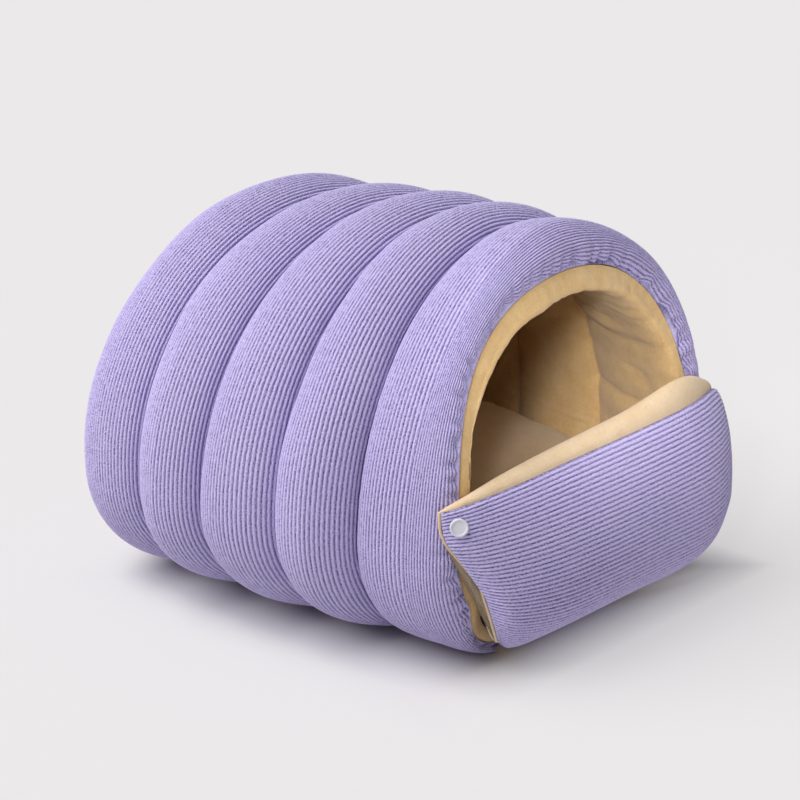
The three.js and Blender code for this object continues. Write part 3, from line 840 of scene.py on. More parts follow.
@dataclass(frozen=True)
class Shell:
    """The corduroy outside: four hoops, and a front one that rolls round the mouth."""

    tunnel: Tunnel
    wale: Wale = Wale()
    hoop_rows: int = 150
    front_rows: int = 430
    inner_columns: int = 14
    parting: float = 0.15
    girth_place: float = 60
    roll_turn: float = np.pi * 0.6
    lumps: Drift = Drift(11, 16, 9)
    lump_height: float = 1.3
    lump_span: float = 400
    lump_reach: float = 40
    front_lumps: float = 0.9
    wale_start: float = 0.2
    seam_puckers: Gathers = Gathers(5, 15, 4, 0.8, 9)
    rim_gathers: Gathers = Gathers(8, 11, 2.9, 4.6, 15)
    rim_waves: Drift = Drift(9, 74, 2)
    rim_sway: float = 3.0
    sway_reach: float = 16

    def hoop_columns(self) -> tuple[Array, Array, Array, Array]:
        """Return y, puffed depth, wales counted and distance from a seam over four channels."""
        fine = np.linspace(0, np.pi, FINE_STEPS)
        table = [np.empty((4, 0))]
        first = 0.0
        for channel in self.tunnel.channels[:-1]:
            y = channel.middle + channel.half * np.cos(fine)
            run = arc_length(y, self.tunnel.outer_puff * np.sin(fine))
            turn, count = self.wale.samples(run, fine, first)
            first = count[-1]
            at = np.interp(turn, fine, run)
            rows = [
                channel.middle + channel.half * np.cos(turn),
                self.tunnel.outer_puff * (1 - np.sin(turn)),
                count,
                np.minimum(at, run[-1] - at),
            ]
            start = 1 if table[-1].shape[1] else 0
            table.append(np.array(rows)[:, start:])
        return tuple(np.concatenate(table, axis=1))

    def hoops(self) -> tuple[Array, Array]:
        """Return the points and cloth coordinates of the four hoops."""
        share = np.linspace(0, 1, self.hoop_rows)[:, None]
        y, depth, count, away = self.hoop_columns()
        points = self.tunnel.place(y + self.parting, share, depth, 0)
        girth = self.tunnel.place(self.girth_place, share[:, 0], 0, 0)
        along = arc_length(*girth.T)[:, None]
        down = (self.tunnel.channels[0].rear - y) / self.lump_span
        relief = self.wale.relief(count) + self.lump_height * self.lumps.at(share, down)
        relief = relief - self.seam_puckers.relief(along, away[None, :])
        points = raised(points, relief, UP)
        back = np.linspace(y[-1], y[0], self.inner_columns) + self.parting
        inner = self.tunnel.place(back, share, self.tunnel.outer_puff, self.tunnel.cloth)
        return closed(points, inner), woven(along / self.wale.pitch, count, inner.shape[1])

    def front(self) -> tuple[Array, Array]:
        """Return the points and cloth coordinates of the hoop at the mouth."""
        tunnel = self.tunnel
        share = np.linspace(0, 1, self.front_rows)[:, None]
        fine = np.linspace(0, np.pi / 2, FINE_STEPS)
        y = tunnel.front.middle + tunnel.front.half * np.cos(fine)
        rear_run = arc_length(y, tunnel.outer_puff * np.sin(fine))
        turn, count = self.wale.samples(rear_run, fine)
        rear_y = tunnel.front.middle + tunnel.front.half * np.cos(turn)
        rear = tunnel.place(rear_y, share, tunnel.outer_puff * (1 - np.sin(turn)), 0)

        turns = np.linspace(0, self.roll_turn, FINE_STEPS) ** 2 / self.roll_turn
        run = arc_length(tunnel.roll_y(turns), tunnel.roll_depth(turns, 0.0))
        rim = tunnel.rim_turn(share)
        rim_run = np.interp(rim, turns, run)
        step = self.wale.pitch / self.wale.columns
        columns = np.arange(1, int(np.ceil(rim_run.max() / step)) + 1) * step
        at = np.minimum(columns, rim_run)
        near_rim = smooth(1 - (rim_run - at) / self.sway_reach)
        sway = self.rim_sway * self.rim_waves.at(share, 0.5) * near_rim
        turn = np.interp(at + sway, run, turns)
        depth = tunnel.roll_depth(turn, share)
        roll = tunnel.place(tunnel.roll_y(turn), share, depth, 0, turn / rim)
        points = np.concatenate([rear, roll], axis=1)

        along = arc_length(*roll[:, -1].T)[:, None]
        ones = np.ones_like(share)
        counts = np.concatenate([ones * count, count[-1] + at / self.wale.pitch], axis=1)
        rear_at = ones * np.interp(rear_y, y[::-1], rear_run[::-1])
        from_seam = np.concatenate([rear_at, rear_run[-1] + at], axis=1)
        to_rim = rear_run[-1] + rim_run - from_seam
        relief = self.wale.relief(counts) * smooth(to_rim / self.wale.pitch + self.wale_start)
        lumps = self.lump_height * self.lumps.at(share, self.front_lumps)
        relief = relief + lumps * smooth(to_rim / self.lump_reach)
        relief = relief - self.seam_puckers.relief(along, from_seam)
        relief = relief - self.rim_gathers.relief(along, to_rim)
        points = raised(points, relief, UP)

        back = np.linspace(1, 0, self.inner_columns)
        seam_depth = tunnel.roll_depth(rim, share)
        curl = tunnel.place(
            mix(tunnel.front.middle, tunnel.roll_y(rim), back),
            share,
            mix(tunnel.outer_puff, seam_depth, back**2),
            tunnel.cloth,
            back,
        )
        rest = np.linspace(tunnel.front.middle, tunnel.front.rear, self.inner_columns)[1:]
        flat = tunnel.place(rest, share, tunnel.outer_puff, tunnel.cloth)
        inner = np.concatenate([curl, flat], axis=1)
        return closed(points, inner), woven(along / self.wale.pitch, counts, inner.shape[1])

    def build(self, material: bpy.types.Material) -> None:
        """Make and dress both pieces."""
        for name, form in (("shell_hoops", self.hoops()), ("shell_front", self.front())):
            piece = grid_form(name, *form)
            dress(piece, material, Slot.CORDUROY, "shell")


@dataclass(frozen=True)
class Creases:
    """Soft wrinkles where cloth is pressed together, along the lines where a drift is nought."""

    drift: Drift
    depth: float
    sharpness: float

    def relief(self, down: Array, across: Array) -> Array:
        """Return how far the cloth is drawn in, at shares of the surface."""
        level = np.abs(self.drift.at(down, across))
        return self.depth * np.maximum(0, 1 - level * self.sharpness) ** 2


@dataclass(frozen=True)
class Lining:
    """The fleece inside, sewn across in wide segments and rolled out to the mouth's rim."""

    tunnel: Tunnel
    rows: int = 300
    roll_columns: int = 44
    half_columns: int = 18
    segment_columns: int = 28
    hidden_columns: int = 10
    lumps: Drift = Drift(23, 20, 12)
    lump_height: float = 1.6
    dimples: Drift = Drift(24, 90, 40)
    dimple_height: float = 0.5
    rim_gathers: Gathers = Gathers(8, 11, 3.4, 1.1, 9)
    creases: Creases = Creases(Drift(31, 56, 5), 2.6, 2.2)
    folds: Drift = Drift(35, 66, 5)
    fold_height: float = 1.7
    fold_start: tuple[float, float] = (16, 30)
    fold_end: tuple[float, float] = (175, 60)
    deep_creases: float = 0.25
    edge_reach: float = 8
    foot_bulge: float = 21
    foot_bulge_shares: tuple[float, float] = (0.25, 0.19)

    def cave_side(self, share: Array) -> tuple[Array, Array]:
        """Return the points from the rim to the back, and how far each lies from the rim."""
        tunnel = self.tunnel
        rim = tunnel.rim_turn(share)
        out = np.linspace(1, 0, self.roll_columns)
        turn = mix(np.pi, rim, out)
        rim_cloth = tunnel.cloth + tunnel.lining_gap + tunnel.gap
        none, full = self.foot_bulge_shares
        bulge = self.foot_bulge * smooth((share - none) / (full - none)) * np.sin(np.pi * out) ** 2
        roll = tunnel.place(
            tunnel.roll_y(turn),
            share,
            tunnel.roll_depth(turn, share) + bulge,
            mix(tunnel.lining_cloth, rim_cloth, out),
            out,
        )
        parts = [roll, self.segment(share, np.linspace(np.pi / 2, 0, self.half_columns)[1:], 3)]
        for index in (2, 1, 0):
            turns = np.linspace(np.pi, 0, self.segment_columns)[1:]
            parts.append(self.segment(share, turns, index))
        points = np.concatenate(parts, axis=1)
        steps = np.linalg.norm(np.diff(points, axis=1), axis=2)
        away = np.concatenate([np.zeros_like(share), np.cumsum(steps, axis=1)], axis=1)
        return points, away

    def segment(self, share: Array, turn: Array, index: int) -> Array:
        """Return the points of a segment in front of a seam, from its front to that seam."""
        tunnel = self.tunnel
        rear = tunnel.lining_seam(index, share)
        if index == len(tunnel.lining_feet) - 1:
            y = mix(tunnel.front.middle, rear, np.cos(turn))
        else:
            y = mix(rear, tunnel.lining_seam(index + 1, share), (1 - np.cos(turn)) / 2)
        return tunnel.place(y, share, tunnel.depth_at(-np.sin(turn), share), tunnel.lining_cloth)

    def form(self) -> tuple[Array, Array]:
        """Return the points and cloth coordinates of the lining."""
        tunnel = self.tunnel
        share = np.linspace(0, 1, self.rows)[:, None]
        points, away = self.cave_side(share)
        along = arc_length(*points[:, 0].T)[:, None]
        inward = away / away.max()
        relief = self.lump_height * self.lumps.at(share, inward)
        relief = relief + self.dimple_height * self.dimples.at(share, inward)
        start, rise = self.fold_start
        end, fall = self.fold_end
        near_mouth = smooth((away - start) / rise) * smooth((end - away) / fall)
        creased = mix(self.deep_creases, 1, near_mouth)
        relief = relief - self.creases.relief(share, inward) * creased
        relief = relief + self.fold_height * self.folds.at(share, inward) * near_mouth
        relief = relief * smooth(away / self.edge_reach)
        relief = relief - self.rim_gathers.relief(along, away)
        points = raised(points, relief, DOWN)

        cloth = tunnel.cloth + tunnel.lining_gap
        y = np.linspace(tunnel.channels[0].rear, tunnel.front.middle, self.hidden_columns)
        flat = tunnel.place(y, share, tunnel.outer_puff, cloth)
        rim = tunnel.rim_turn(share)
        out = np.linspace(0, 1, self.hidden_columns)[1:]
        depth = mix(tunnel.outer_puff, tunnel.roll_depth(rim, share), out**2)
        curl = tunnel.place(
            mix(tunnel.front.middle, tunnel.roll_y(rim), out), share, depth, cloth, out
        )
        hidden = np.concatenate([flat, curl], axis=1)
        return closed(points, hidden), woven(along, away, hidden.shape[1])

    def build(self, material: bpy.types.Material) -> None:
        """Make and dress the lining."""
        piece = dress(grid_form("lining_fleece", *self.form()), material, Slot.FLEECE, "lining")


@dataclass(frozen=True)
class Back:
    """The stuffed back: corduroy with upright wales outside, and fleece inside."""

    tunnel: Tunnel
    wale: Wale = Wale()
    dome: float = 36.5
    power: float = 3.4
    face_rows: int = 96
    hidden_rows: int = 10
    lumps: Drift = Drift(41, 5, 6)
    lump_height: float = 1.5
    wale_reach: float = 4
    lump_reach: float = 30
    edge_gathers: Gathers = Gathers(44, 17, 4, 1.0, 9)
    gather_start: float = 2
    fleece_lumps: Drift = Drift(47, 9, 9)
    fleece_spans: tuple[float, float] = (400, 300)
    fleece_edge: float = 12

    def outline(self) -> tuple[Array, Array]:
        """Return x and z of the rim from the -X foot over the top to the +X foot."""
        tunnel = self.tunnel
        points = tunnel.place(
            tunnel.channels[0].rear, np.linspace(0, 1, FINE_STEPS), tunnel.outer_puff, 0
        )
        return points[:, 0], points[:, 2]

    def edge_share(self, x: Array, z: Array) -> Array:
        """Return how near places are to the rim: 0 in the middle and 1 on it."""
        rim_x, rim_z = self.outline()
        foot = np.linspace(rim_x[-1], rim_x[0], FINE_STEPS)
        level = self.tunnel.widest_level
        rim_x = np.concatenate([rim_x, foot])
        rim_z = np.concatenate([rim_z, np.zeros_like(foot)]) - level
        bearing = np.arctan2(rim_z, rim_x)
        order = np.argsort(bearing)
        reach = np.hypot(rim_x, rim_z)[order]
        rim_reach = np.interp(np.arctan2(z - level, x), bearing[order], reach, period=2 * np.pi)
        return np.clip(np.hypot(x, z - level) / rim_reach, 0, 1)

    def depth(self, x: Array, z: Array) -> Array:
        """Return how far the dome stands out at places of the back."""
        return self.tunnel.cloth + self.dome * (1 - self.edge_share(x, z) ** self.power)

    def form(self) -> tuple[Array, Array]:
        """Return the points and cloth coordinates of the corduroy back."""
        tunnel = self.tunnel
        rim_x, rim_z = self.outline()
        widest = int(np.argmin(rim_x))
        half = FINE_STEPS // 2
        fine = np.linspace(-1, 1, FINE_STEPS) * abs(rim_x[widest])
        run = arc_length(fine, self.depth(fine, np.full_like(fine, tunnel.widest_level)))
        x, count = self.wale.samples(run, fine)
        low = np.interp(-np.abs(x), rim_x[widest::-1], rim_z[widest::-1], right=0)
        high = np.interp(-np.abs(x), rim_x[widest : half + 1], rim_z[widest : half + 1])
        up = (1 - np.cos(np.linspace(0, np.pi, self.face_rows))) / 2
        z = mix(low[:, None], high[:, None], up)
        x = np.broadcast_to(x[:, None], z.shape)
        seam = tunnel.channels[0].rear + tunnel.gap
        face = self.leaned(x, seam + self.depth(x, z), z)
        to_rim = (1 - self.edge_share(x, z)) * tunnel.widest_level
        across = (x / rim_x[widest] + 1) / 2
        relief = self.wale.relief(count)[:, None] * smooth(to_rim / self.wale_reach)
        lumps = self.lump_height * self.lumps.at(across, up)
        relief = relief + lumps * smooth(to_rim / self.lump_reach)
        bearing = np.arctan2(z - tunnel.widest_level, x)
        around = (bearing + np.pi) * tunnel.widest_level
        tucks = self.edge_gathers.relief(around, to_rim)
        relief = relief - tucks * smooth(to_rim / self.gather_start)
        face = raised(face, relief, BACKWARD)
        down = np.linspace(1, 0, self.hidden_rows)
        hidden_z = mix(low[:, None], high[:, None], down)
        hidden_x = np.broadcast_to(x[:, :1], hidden_z.shape)
        hidden = self.leaned(hidden_x, np.full_like(hidden_z, seam), hidden_z)
        return closed(face, hidden), woven(z / self.wale.pitch, count[:, None], self.hidden_rows)

    def leaned(self, x: Array, y: Array, z: Array) -> Array:
        """Return points of the back, which leans and bows as the tunnel does there."""
        tunnel = self.tunnel
        lean = tunnel.top_lean * (z - tunnel.lean_level) + tunnel.back_edge.bow * np.abs(x)
        return np.stack([x, y - lean, z], axis=-1)

    def build(self, corduroy: bpy.types.Material, fleece: bpy.types.Material) -> None:
        """Make and dress both sides of the back."""
        piece = grid_form("back_corduroy", *self.form())
        dress(piece, corduroy, Slot.CORDUROY, "back_panel")
        inside = node_form("back_fleece", "back_lining", 2)
        points = mesh_points(inside)
        wide, high = self.fleece_spans
        domed = points[:, 1] < points[:, 1].max() - self.fleece_edge
        drift = self.fleece_lumps.at(points[:, 2] / high, points[:, 0] / wide + 0.5)
        points[:, 1] += np.where(domed, self.lump_height * drift, 0)
        move_points(inside, points)
        dress(inside, fleece, Slot.FLEECE, "back_lining")


@dataclass(frozen=True)
class Floor:
    """The base panel under the bed, and the cushion on it."""

    wale: Wale = Wale()
    voxel: float = 5.0
    start_share: float = 0.985
    pressure: float = 4.0
    frames: int = 20
    farthest: float = 5.0
    lumps: Drift = Drift(61, 7, 7)
    lump_height: float = 1.2
    lump_spans: tuple[float, float] = (350, 300)
    lump_level: float = 30

    def cushion(self) -> bpy.types.Object:
        """Return the cushion, blown up as stuffing does and then rounded."""
        piece = node_form("cushion_fleece", "floor_cushion", 0)
        points = mesh_points(piece)
        centre = (points.min(axis=0) + points.max(axis=0)) / 2
        low = points[:, 2].min()
        points = centre + (points - centre) * self.start_share
        points[:, 2] = np.maximum(points[:, 2], low)
        move_points(piece, points)
        self.remesh(piece)
        self.inflate(piece)
        subdivide(piece, 1)
        points = mesh_points(piece)
        wide, deep = self.lump_spans
        drift = self.lumps.at(points[:, 0] / wide + 0.5, points[:, 1] / deep + 0.5)
        upper = points[:, 2] > low + self.lump_level
        points[:, 2] += np.where(upper, self.lump_height * drift, 0)
        points[:, 2] = np.maximum(points[:, 2], low)
        move_points(piece, points)
        pick(piece)
        bpy.ops.object.shade_smooth()
        return piece

    def remesh(self, piece: bpy.types.Object) -> None:
        """Give a piece an even mesh of the voxel's size."""
        pick(piece)
        modifier = piece.modifiers.new("even_mesh", "REMESH")
        modifier.mode = "VOXEL"
        modifier.voxel_size = self.voxel * MM
        bpy.ops.object.modifier_apply(modifier=modifier.name)

    def inflate(self, piece: bpy.types.Object) -> None:
        """Blow a piece up with a cloth simulation, and keep each point near where it was."""
        start = mesh_points(piece)
        pick(piece)
        cloth = piece.modifiers.new("stuffing", "CLOTH")
        cloth.settings.use_pressure = True
        cloth.settings.uniform_pressure_force = self.pressure
        cloth.settings.effector_weights.gravity = 0
        scene = bpy.context.scene
        for step in range(1, self.frames + 1):
            scene.frame_set(step)
        bpy.ops.object.modifier_apply(modifier=cloth.name)
        scene.frame_set(1)
        moved = mesh_points(piece) - start
        distance = np.linalg.norm(moved, axis=1, keepdims=True)
        capped = np.minimum(distance, self.farthest) / np.maximum(distance, LEAST_LENGTH)
        move_points(piece, start + moved * capped)

    def base(self) -> bpy.types.Object:
        """Return the base panel, rounded off, with its wales along the tunnel."""
        piece = node_form("base_corduroy", "base_panel", 2)
        layer = piece.data.uv_layers.get(WEAVE_MAP) or piece.data.uv_layers.new(name=WEAVE_MAP)
        corners = np.empty(len(piece.data.loops), np.int32)
        piece.data.loops.foreach_get("vertex_index", corners)
        places = mesh_points(piece)[corners] / self.wale.pitch
        layer.data.foreach_set("uv", places[:, [1, 0]].astype(np.float32).ravel())
        return piece

    def build(self, corduroy: bpy.types.Material, fleece: bpy.types.Material) -> None:
        """Make and dress the base and the cushion."""
        base = dress(self.base(), corduroy, Slot.CORDUROY, "base_panel")
        cushion = dress(self.cushion(), fleece, Slot.FLEECE, "floor_cushion")


@dataclass(frozen=True)
class FlapColumn:
    """The flap's section at one place of its width, or at many."""

    x: Number
    y: Number
    facing: Number
    puff: Number
    setback: Number
    foot: Number
    seam: Number
    drop: Number
    roll: Number


@dataclass(frozen=True)
class Flap:
    """The stuffed flap across the mouth, with its fleece back and its two press snaps."""

    tunnel: Tunnel
    wale: Wale = Wale(pitch=3.8)
    table: tuple[FlapColumn, ...] = (
        FlapColumn(-133, -189, -25, 0, 22, 30, 151, 10, 1),
        FlapColumn(-119, -191, -14, 18, 27, 21, 156, 10, 4),
        FlapColumn(-84, -188, -2, 35, 33, 14, 161, 10, 8),
        FlapColumn(-30, -181, 0, 46, 41, 10, 164, 10, 10),
        FlapColumn(40, -181, 0, 46, 41, 10, 167, 10, 14),
        FlapColumn(99, -187, 4, 38, 33, 17, 171, 9, 22),
        FlapColumn(139, -186, 26, 24, 24, 33, 170, 4, 9),
        FlapColumn(164, -175, 54, 15, 14, 46, 160, 2, 3),
        FlapColumn(179, -155, 72, 7, 6, 56, 146, 2, 2),
        FlapColumn(185, -138, 80, 0, 0, 64, 134, 2, 1),
    )
    middle: float = 79
    tuck_level: float = 60
    face_share: float = 0.5
    gap_foot: float = 2.2
    gap_seam: float = 0.6
    lower_power: float = 1.6
    seam_power: float = 4
    crest_rise: float = 4 / 3
    crest_fullness: float = 0.9
    crest_landing: float = 0.4
    crest_least: float = 1
    slant_levels: tuple[float, ...] = (10, 45, 86, 130, 150)
    slant_left: tuple[float, ...] = (34, 17, 1, -29, -30)
    slant_right: tuple[float, ...] = (0, 0, 0, 0, -3)
    slant_ease: float = 9
    slant_steps: int = 5
    slant_reach: float = 0.5
    slant_wrap: float = 0.47
    snap_share: float = 0.071
    snap_level: float = 141.5
    snap_lift: float = 0.45
    snap_step: float = 0.01
    width_rows: int = 150
    hidden_columns: int = 44
    roll_columns: int = 26
    bead: float = 1.6
    bead_rows: int = 5
    bead_gap: float = 0.3
    bead_width: float = 0.06
    heel: float = 15
    heel_width: float = 0.22
    heel_level: float = 50
    heel_reach: float = 50
    lumps: Drift = Drift(71, 9, 5)
    lump_height: float = 1.3
    lump_reach: float = 60
    fleece_lump_span: float = 200
    fleece_lump_depth: float = 20
    end_reach: float = 3
    end_start: float = 0.3
    seam_reach: float = 2
    seam_gathers: Gathers = Gathers(73, 19, 5, 0.7, 12)
    dimple: float = 1.5
    dimple_reach: float = 9

    def column(self, share: Array) -> FlapColumn:
        """Return the section at shares of the width, along smooth curves through the table."""
        rows = np.array([astuple(row) for row in self.table])
        rows = np.concatenate([2 * rows[:1] - rows[1:2], rows, 2 * rows[-1:] - rows[-2:-1]])
        place = np.clip(share, 0, 1) * (len(self.table) - 1)
        index = np.minimum(place.astype(int), len(self.table) - 2)
        t = (place - index)[..., None]
        before, low, high, after = (rows[index + step] for step in range(4))
        bend = 2 * before - 5 * low + 4 * high - after
        turn = 3 * (low - high) + after - before
        values = low + 0.5 * t * (high - before + t * (bend + t * turn))
        column = FlapColumn(*np.moveaxis(values, -1, 0))
        return replace(
            column, puff=np.maximum(column.puff, 0), foot=np.maximum(column.foot, 0)
        )

    def place(self, share: Array, out: Array, z: Array) -> Array:
        """Return points of the flap.

        Args:
            share: Share of the flap's width from its -X end.
            out: Distance in front of the back of the flap.
            z: Level.

        Returns:
            Points in millimetres, with x, y and z last.
        """
        share, out, z = np.broadcast_arrays(share, out, z)
        column = self.column(share)
        facing = np.radians(column.facing)
        near = z[..., None] + np.linspace(-self.slant_ease, self.slant_ease, self.slant_steps)
        left = np.interp(near, self.slant_levels, self.slant_left).mean(axis=-1)
        left = left * (1 - smooth(share / self.slant_reach))
        right = np.interp(z, self.slant_levels, self.slant_right)
        right = right * (1 - smooth((1 - share) / self.slant_reach))
        back = column.setback * np.clip(1 - z / self.tuck_level, 0, 1) ** 2
        reach = out - back
        x = column.x + left + right + reach * np.sin(facing)
        wrap = self.slant_wrap * np.maximum(0, -left)
        y = column.y + wrap - reach * np.cos(facing)
        return np.stack([x, y, z], axis=-1)

    def fullness(self, column: FlapColumn, z: Array) -> Array:
        """Return how full the flap is at a level of its sections."""
        down = np.maximum(0, (self.middle - z) / (self.middle - column.foot))
        lower = np.maximum(0, 1 - down**self.lower_power) ** (1 / self.lower_power)
        up = (z - self.middle) / (column.seam + column.drop - self.middle)
        upper = np.sqrt(np.maximum(0, 1 - up**2))
        return np.where(z < self.middle, lower, upper)

    def face_out(self, column: FlapColumn, z: Array) -> Array:
        """Return how far the corduroy stands in front of the back of the flap."""
        return self.tunnel.lining_cloth + column.puff * self.fullness(column, z)

    def middle_out(self, column: FlapColumn, z: Array) -> Array:
        """Return how far the surface between corduroy and fleece stands out."""
        rise = np.clip((z - column.foot) / (column.seam - column.foot), 0, 1)
        stuffing = self.face_share * column.puff * self.fullness(column, z)
        stuffing = stuffing * (1 - rise**self.seam_power)
        return self.face_out(column, z) - self.tunnel.cloth - stuffing

    def level(self, column: FlapColumn, up: Array) -> Array:
        """Return the level at a share of the way up from the foot to the seam."""
        lower = mix(self.middle, column.foot, np.cos(np.clip(2 * up, 0, 1) * np.pi / 2))
        upper = mix(self.middle, column.seam, np.sin(np.clip(2 * up - 1, 0, 1) * np.pi / 2))
        return np.where(up < 0.5, lower, upper)

    def face(self) -> tuple[Array, Array]:
        """Return the points and cloth coordinates of the corduroy face."""
        fine = np.linspace(0, 1, FINE_STEPS)
        middle = self.column(np.array([0.5]))
        level = self.level(middle, fine)
        run = arc_length(self.face_out(middle, level), level)
        up, count = self.wale.samples(run, fine)
        share = np.linspace(0, 1, self.width_rows)[:, None]
        column = self.column(share)
        z = self.level(column, up)
        points = self.place(share, self.face_out(column, z), z)
        along = arc_length(*self.place(share[:, 0], 0, self.middle).T)[:, None]
        to_seam = run[-1] - np.interp(up, fine, run)
        edge = np.minimum(along, along.max() - along)
        ribbed = smooth(edge / self.end_reach + self.end_start) * smooth(to_seam / self.seam_reach)
        lumps = self.lump_height * self.lumps.at(share, up)
        relief = self.wale.relief(count) * ribbed + lumps * smooth(edge / self.lump_reach)
        relief = relief - self.seam_gathers.relief(along, to_seam)
        for place in (self.snap_share, 1 - self.snap_share):
            centre = self.face_point(place, self.snap_level)
            distance = np.linalg.norm(points - centre, axis=-1)
            relief = relief - self.dimple * np.exp(-((distance / self.dimple_reach) ** 2))
        points = raised(points, relief, FORWARD)
        down = np.linspace(1, 0, self.hidden_columns)
        hidden_z = self.level(column, down)
        hidden = self.place(share, self.middle_out(column, hidden_z), hidden_z)
        return closed(points, hidden), woven(along / self.wale.pitch, count, self.hidden_columns)

    def lining_out(self, share: Array, column: FlapColumn, z: Array) -> Array:
        """Return how far the fleece's front side stands out, close to the corduroy at the ends."""
        rise = (z - column.foot) / (column.seam - column.foot)
        inside = smooth(np.minimum(share, 1 - share) / self.bead_width)
        gap = mix(self.bead_gap, mix(self.gap_foot, self.gap_seam, rise), inside)
        return self.middle_out(column, z) - gap

    def lining_section(self, share: Array) -> tuple[Array, Array, Array]:
        """Return the fleece's distance in front of the back, its level, and its mid thickness."""
        column = self.column(share)
        up = np.linspace(0, 1, self.hidden_columns)
        z = self.level(column, up)
        front = self.lining_out(share, column, z)
        top = front[:, -1:]
        handle = column.seam + column.roll * self.crest_rise
        landing = column.seam - self.crest_landing * top - self.crest_least
        t = np.linspace(0, 1, self.roll_columns)[1:]
        weights = [(1 - t) ** 3, 3 * t * (1 - t) ** 2, 3 * t**2 * (1 - t), t**3]
        roll_out = top * weights[0] + self.crest_fullness * top * weights[1]
        roll_z = column.seam * weights[0] + handle * (weights[1] + weights[2])
        roll_z = roll_z + landing * weights[3]
        down = np.linspace(0, 1, self.hidden_columns)[1:]
        back_z = mix(landing, column.foot, np.sin(down * np.pi / 2))
        full = np.maximum(0, 1 - ((back_z - self.heel_level) / self.heel_reach) ** 2)
        heel = self.heel * smooth(1 - share / self.heel_width) * full
        out = np.concatenate([front, roll_out, -heel], axis=1)
        levels = np.concatenate([z, roll_z, back_z], axis=1)
        held = np.clip(levels, column.foot, column.seam)
        return out, levels, self.lining_out(share, column, held) / 2

    def lining(self) -> tuple[Array, Array]:
        """Return the points and cloth coordinates of the fleece, with a bead down each end."""
        turns = np.linspace(np.pi / 2, 0, self.bead_rows)[:-1]
        share = np.concatenate(
            [np.zeros(len(turns)), np.linspace(0, 1, self.width_rows), np.ones(len(turns))]
        )[:, None]
        turn = np.concatenate([turns, np.zeros(self.width_rows), turns[::-1]])[:, None]
        out, z, middle = self.lining_section(share)
        points = self.place(share, mix(middle, out, np.cos(turn)), z)
        ends = np.where(share < 0.5, -1.0, 1.0) * np.sin(turn) * self.bead
        facing = np.radians(self.column(share).facing)
        points[..., 0] += ends * np.cos(facing)
        points[..., 1] += ends * np.sin(facing)
        along = arc_length(*points[:, 0].T)[:, None]
        fullness = np.sqrt(np.clip(out / self.fleece_lump_depth, 0, 1))
        lumps = self.lumps.at(share, z / self.fleece_lump_span) * fullness
        points = raised(points, lumps * np.cos(turn), FORWARD)
        points = np.concatenate([points, points[:, :1]], axis=1)
        weave = np.broadcast_arrays(along, z[:, :1])
        weave = np.stack(weave, axis=-1) * np.ones((1, points.shape[1], 1))
        return points, weave

    def face_point(self, share: float, z: float) -> Array:
        """Return a point of the face."""
        place, level = np.array([share]), np.array([z])
        return self.place(place, self.face_out(self.column(place), level), level)[0]

    def snap(self, name: str, share: float, material: bpy.types.Material) -> None:
        """Make and dress the press snap at a share of the flap's width."""
        centre = self.face_point(share, self.snap_level)
        upward = self.face_point(share, self.snap_level + 1) - centre
        across = self.face_point(share + self.snap_step, self.snap_level) - centre
        normal = np.cross(across, upward)
        normal /= np.linalg.norm(normal)
        piece = PressSnap().cap(name + "_cap")
        turn = Vector(UP).rotation_difference(Vector(normal)).to_matrix().to_4x4()
        piece.data.transform(turn)
        move_points(piece, mesh_points(piece) + centre + normal * (self.snap_lift - self.dimple / 2))
        dress(piece, material, Slot.SNAP, name)

    def build(
        self,
        corduroy: bpy.types.Material,
        fleece: bpy.types.Material,
        plastic: bpy.types.Material,
    ) -> None:
        """Make and dress the flap."""
        face = dress(grid_form("flap_corduroy", *self.face()), corduroy, Slot.CORDUROY, "flap_face")
        lining = dress(
            grid_form("flap_fleece", *self.lining()), fleece, Slot.FLEECE, "flap_lining"
        )
        self.snap("snap_cap_left", self.snap_share, plastic)
        self.snap("snap_cap_right", 1 - self.snap_share, plastic)


@dataclass(frozen=True)
class PressSnap:
    """The moulded cap of a press snap: a round button with a dished face."""

    radius: float = 7.0
    height: float = 3.4
    lip: float = 1.5
    dish: float = 0.7
    bevel: float = 0.6
    sides: int = 56

    def cap(self, name: str) -> bpy.types.Object:
        """Return a cap that stands on the origin, facing up."""
        deselect_all()
        bpy.ops.mesh.primitive_cylinder_add(
            vertices=self.sides,
            radius=self.radius * MM,
            depth=self.height * MM,
            location=(0, 0, self.height / 2 * MM),
        )
        piece = bpy.context.object
        piece.name = piece.data.name = name
        bpy.ops.object.transform_apply(location=True)
        bpy.ops.object.mode_set(mode="EDIT")
        bpy.ops.mesh.select_mode(type="FACE")
        bpy.ops.mesh.select_all(action="DESELECT")
        bpy.ops.object.mode_set(mode="OBJECT")
        for face in piece.data.polygons:
            face.select = face.normal.z > 0.9
        bpy.ops.object.mode_set(mode="EDIT")
        bpy.ops.mesh.inset(thickness=self.lip * MM, depth=0)
        bpy.ops.mesh.inset(thickness=self.dish * MM, depth=-self.dish * MM)
        bpy.ops.object.mode_set(mode="OBJECT")
        bevel = piece.modifiers.new("moulded_edges", "BEVEL")
        bevel.width = self.bevel * MM
        bevel.segments = 3
        bevel.limit_method = "ANGLE"
        bpy.ops.object.modifier_apply(modifier=bevel.name)
        bpy.ops.object.shade_smooth_by_angle()
        return piece


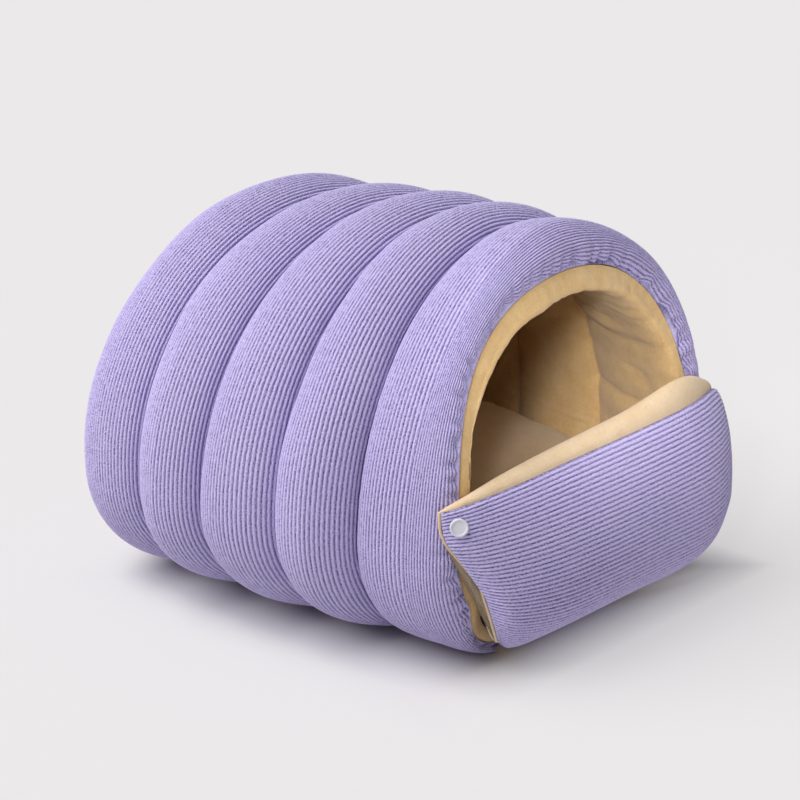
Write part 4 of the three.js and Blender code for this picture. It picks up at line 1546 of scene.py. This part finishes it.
@dataclass(frozen=True)
class Studio:
    """The plain floor, the soft lights and the camera at the photograph's angle."""

    camera_place: tuple[float, float, float] = (-1.4874, -1.3511, 0.8835)
    target: tuple[float, float, float] = (-0.0144, 0.0, 0.1555)
    lens: float = 117.55
    floor_size: float = 30.0
    world: Colour = (1.0, 0.99, 1.0, 1)
    world_strength: float = 0.36
    key_place: tuple[float, float, float] = (-0.70, 0.40, 1.08)
    key_power: float = 3.5
    key_width: float = 55.0
    cave_place: tuple[float, float, float] = (-0.57, -0.54, 0.52)
    cave_target: tuple[float, float, float] = (0.07, -0.165, 0.175)
    cave_power: float = 0.082
    cave_size: float = 0.13
    cave_spread: float = 18.0

    def aim(self, thing: bpy.types.Object, place: tuple, target: tuple) -> None:
        """Put a light or camera at a place, facing a target."""
        thing.location = place
        direction = Vector(target) - Vector(place)
        thing.rotation_euler = direction.to_track_quat("-Z", "Y").to_euler()

    def build_camera(self) -> None:
        """Make the camera."""
        data = bpy.data.cameras.new("camera")
        data.lens = self.lens
        data.sensor_width = 36
        camera = bpy.data.objects.new("camera", data)
        bpy.context.collection.objects.link(camera)
        self.aim(camera, self.camera_place, self.target)
        bpy.context.scene.camera = camera

    def build_key(self) -> None:
        """Make the wide soft light from the side and a little behind."""
        data = bpy.data.lights.new("key", "SUN")
        data.energy = self.key_power
        data.angle = np.radians(self.key_width)
        light = bpy.data.objects.new("key", data)
        bpy.context.collection.objects.link(light)
        self.aim(light, self.key_place, (0, 0, 0))

    def build_cave_light(self) -> None:
        """Make the small soft light that looks in at the mouth."""
        data = bpy.data.lights.new("cave_light", "AREA")
        data.energy = self.cave_power
        data.size = self.cave_size
        data.spread = np.radians(self.cave_spread)
        light = bpy.data.objects.new("cave_light", data)
        bpy.context.collection.objects.link(light)
        self.aim(light, self.cave_place, self.cave_target)

    def build_floor(self) -> None:
        """Make the floor."""
        deselect_all()
        bpy.ops.mesh.primitive_plane_add(size=self.floor_size, location=(0, 0, -0.0008))
        floor = bpy.context.object
        floor.name = "studio_floor"
        floor.data.materials.append(FloorFinish().material())

    def build(self) -> None:
        """Make the whole studio."""
        scene = bpy.context.scene
        scene.view_settings.view_transform = "Standard"
        world = bpy.data.worlds.new("studio")
        world.use_nodes = True
        background = world.node_tree.nodes["Background"]
        background.inputs["Color"].default_value = self.world
        background.inputs["Strength"].default_value = self.world_strength
        scene.world = world
        self.build_floor()
        self.build_key()
        self.build_cave_light()
        self.build_camera()
        LOG.info("studio is up")


def main() -> None:
    """Build every piece in order."""
    logging.basicConfig(level=logging.INFO, format="%(message)s")
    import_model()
    corduroy = CorduroyFinish().material()
    fleece = FleeceFinish().material()
    # Painted light: a paler, less saturated copy of the fleece stands for fleece in light, and dresses
    # the cushion and the flap's fleece.
    painted_light_fleece = FleeceFinish(
        "painted_light_fleece", pile=(0.80, 0.64, 0.45, 1), root=(0.62, 0.43, 0.24, 1)
    ).material()
    plastic = SnapFinish().material()
    tunnel = Tunnel()
    Studio().build()
    Shell(tunnel).build(corduroy)
    Lining(tunnel).build(fleece)
    Back(tunnel).build(corduroy, fleece)
    Floor().build(corduroy, painted_light_fleece)
    Flap(tunnel).build(corduroy, painted_light_fleece, plastic)


if __name__ == "__main__":
    main()
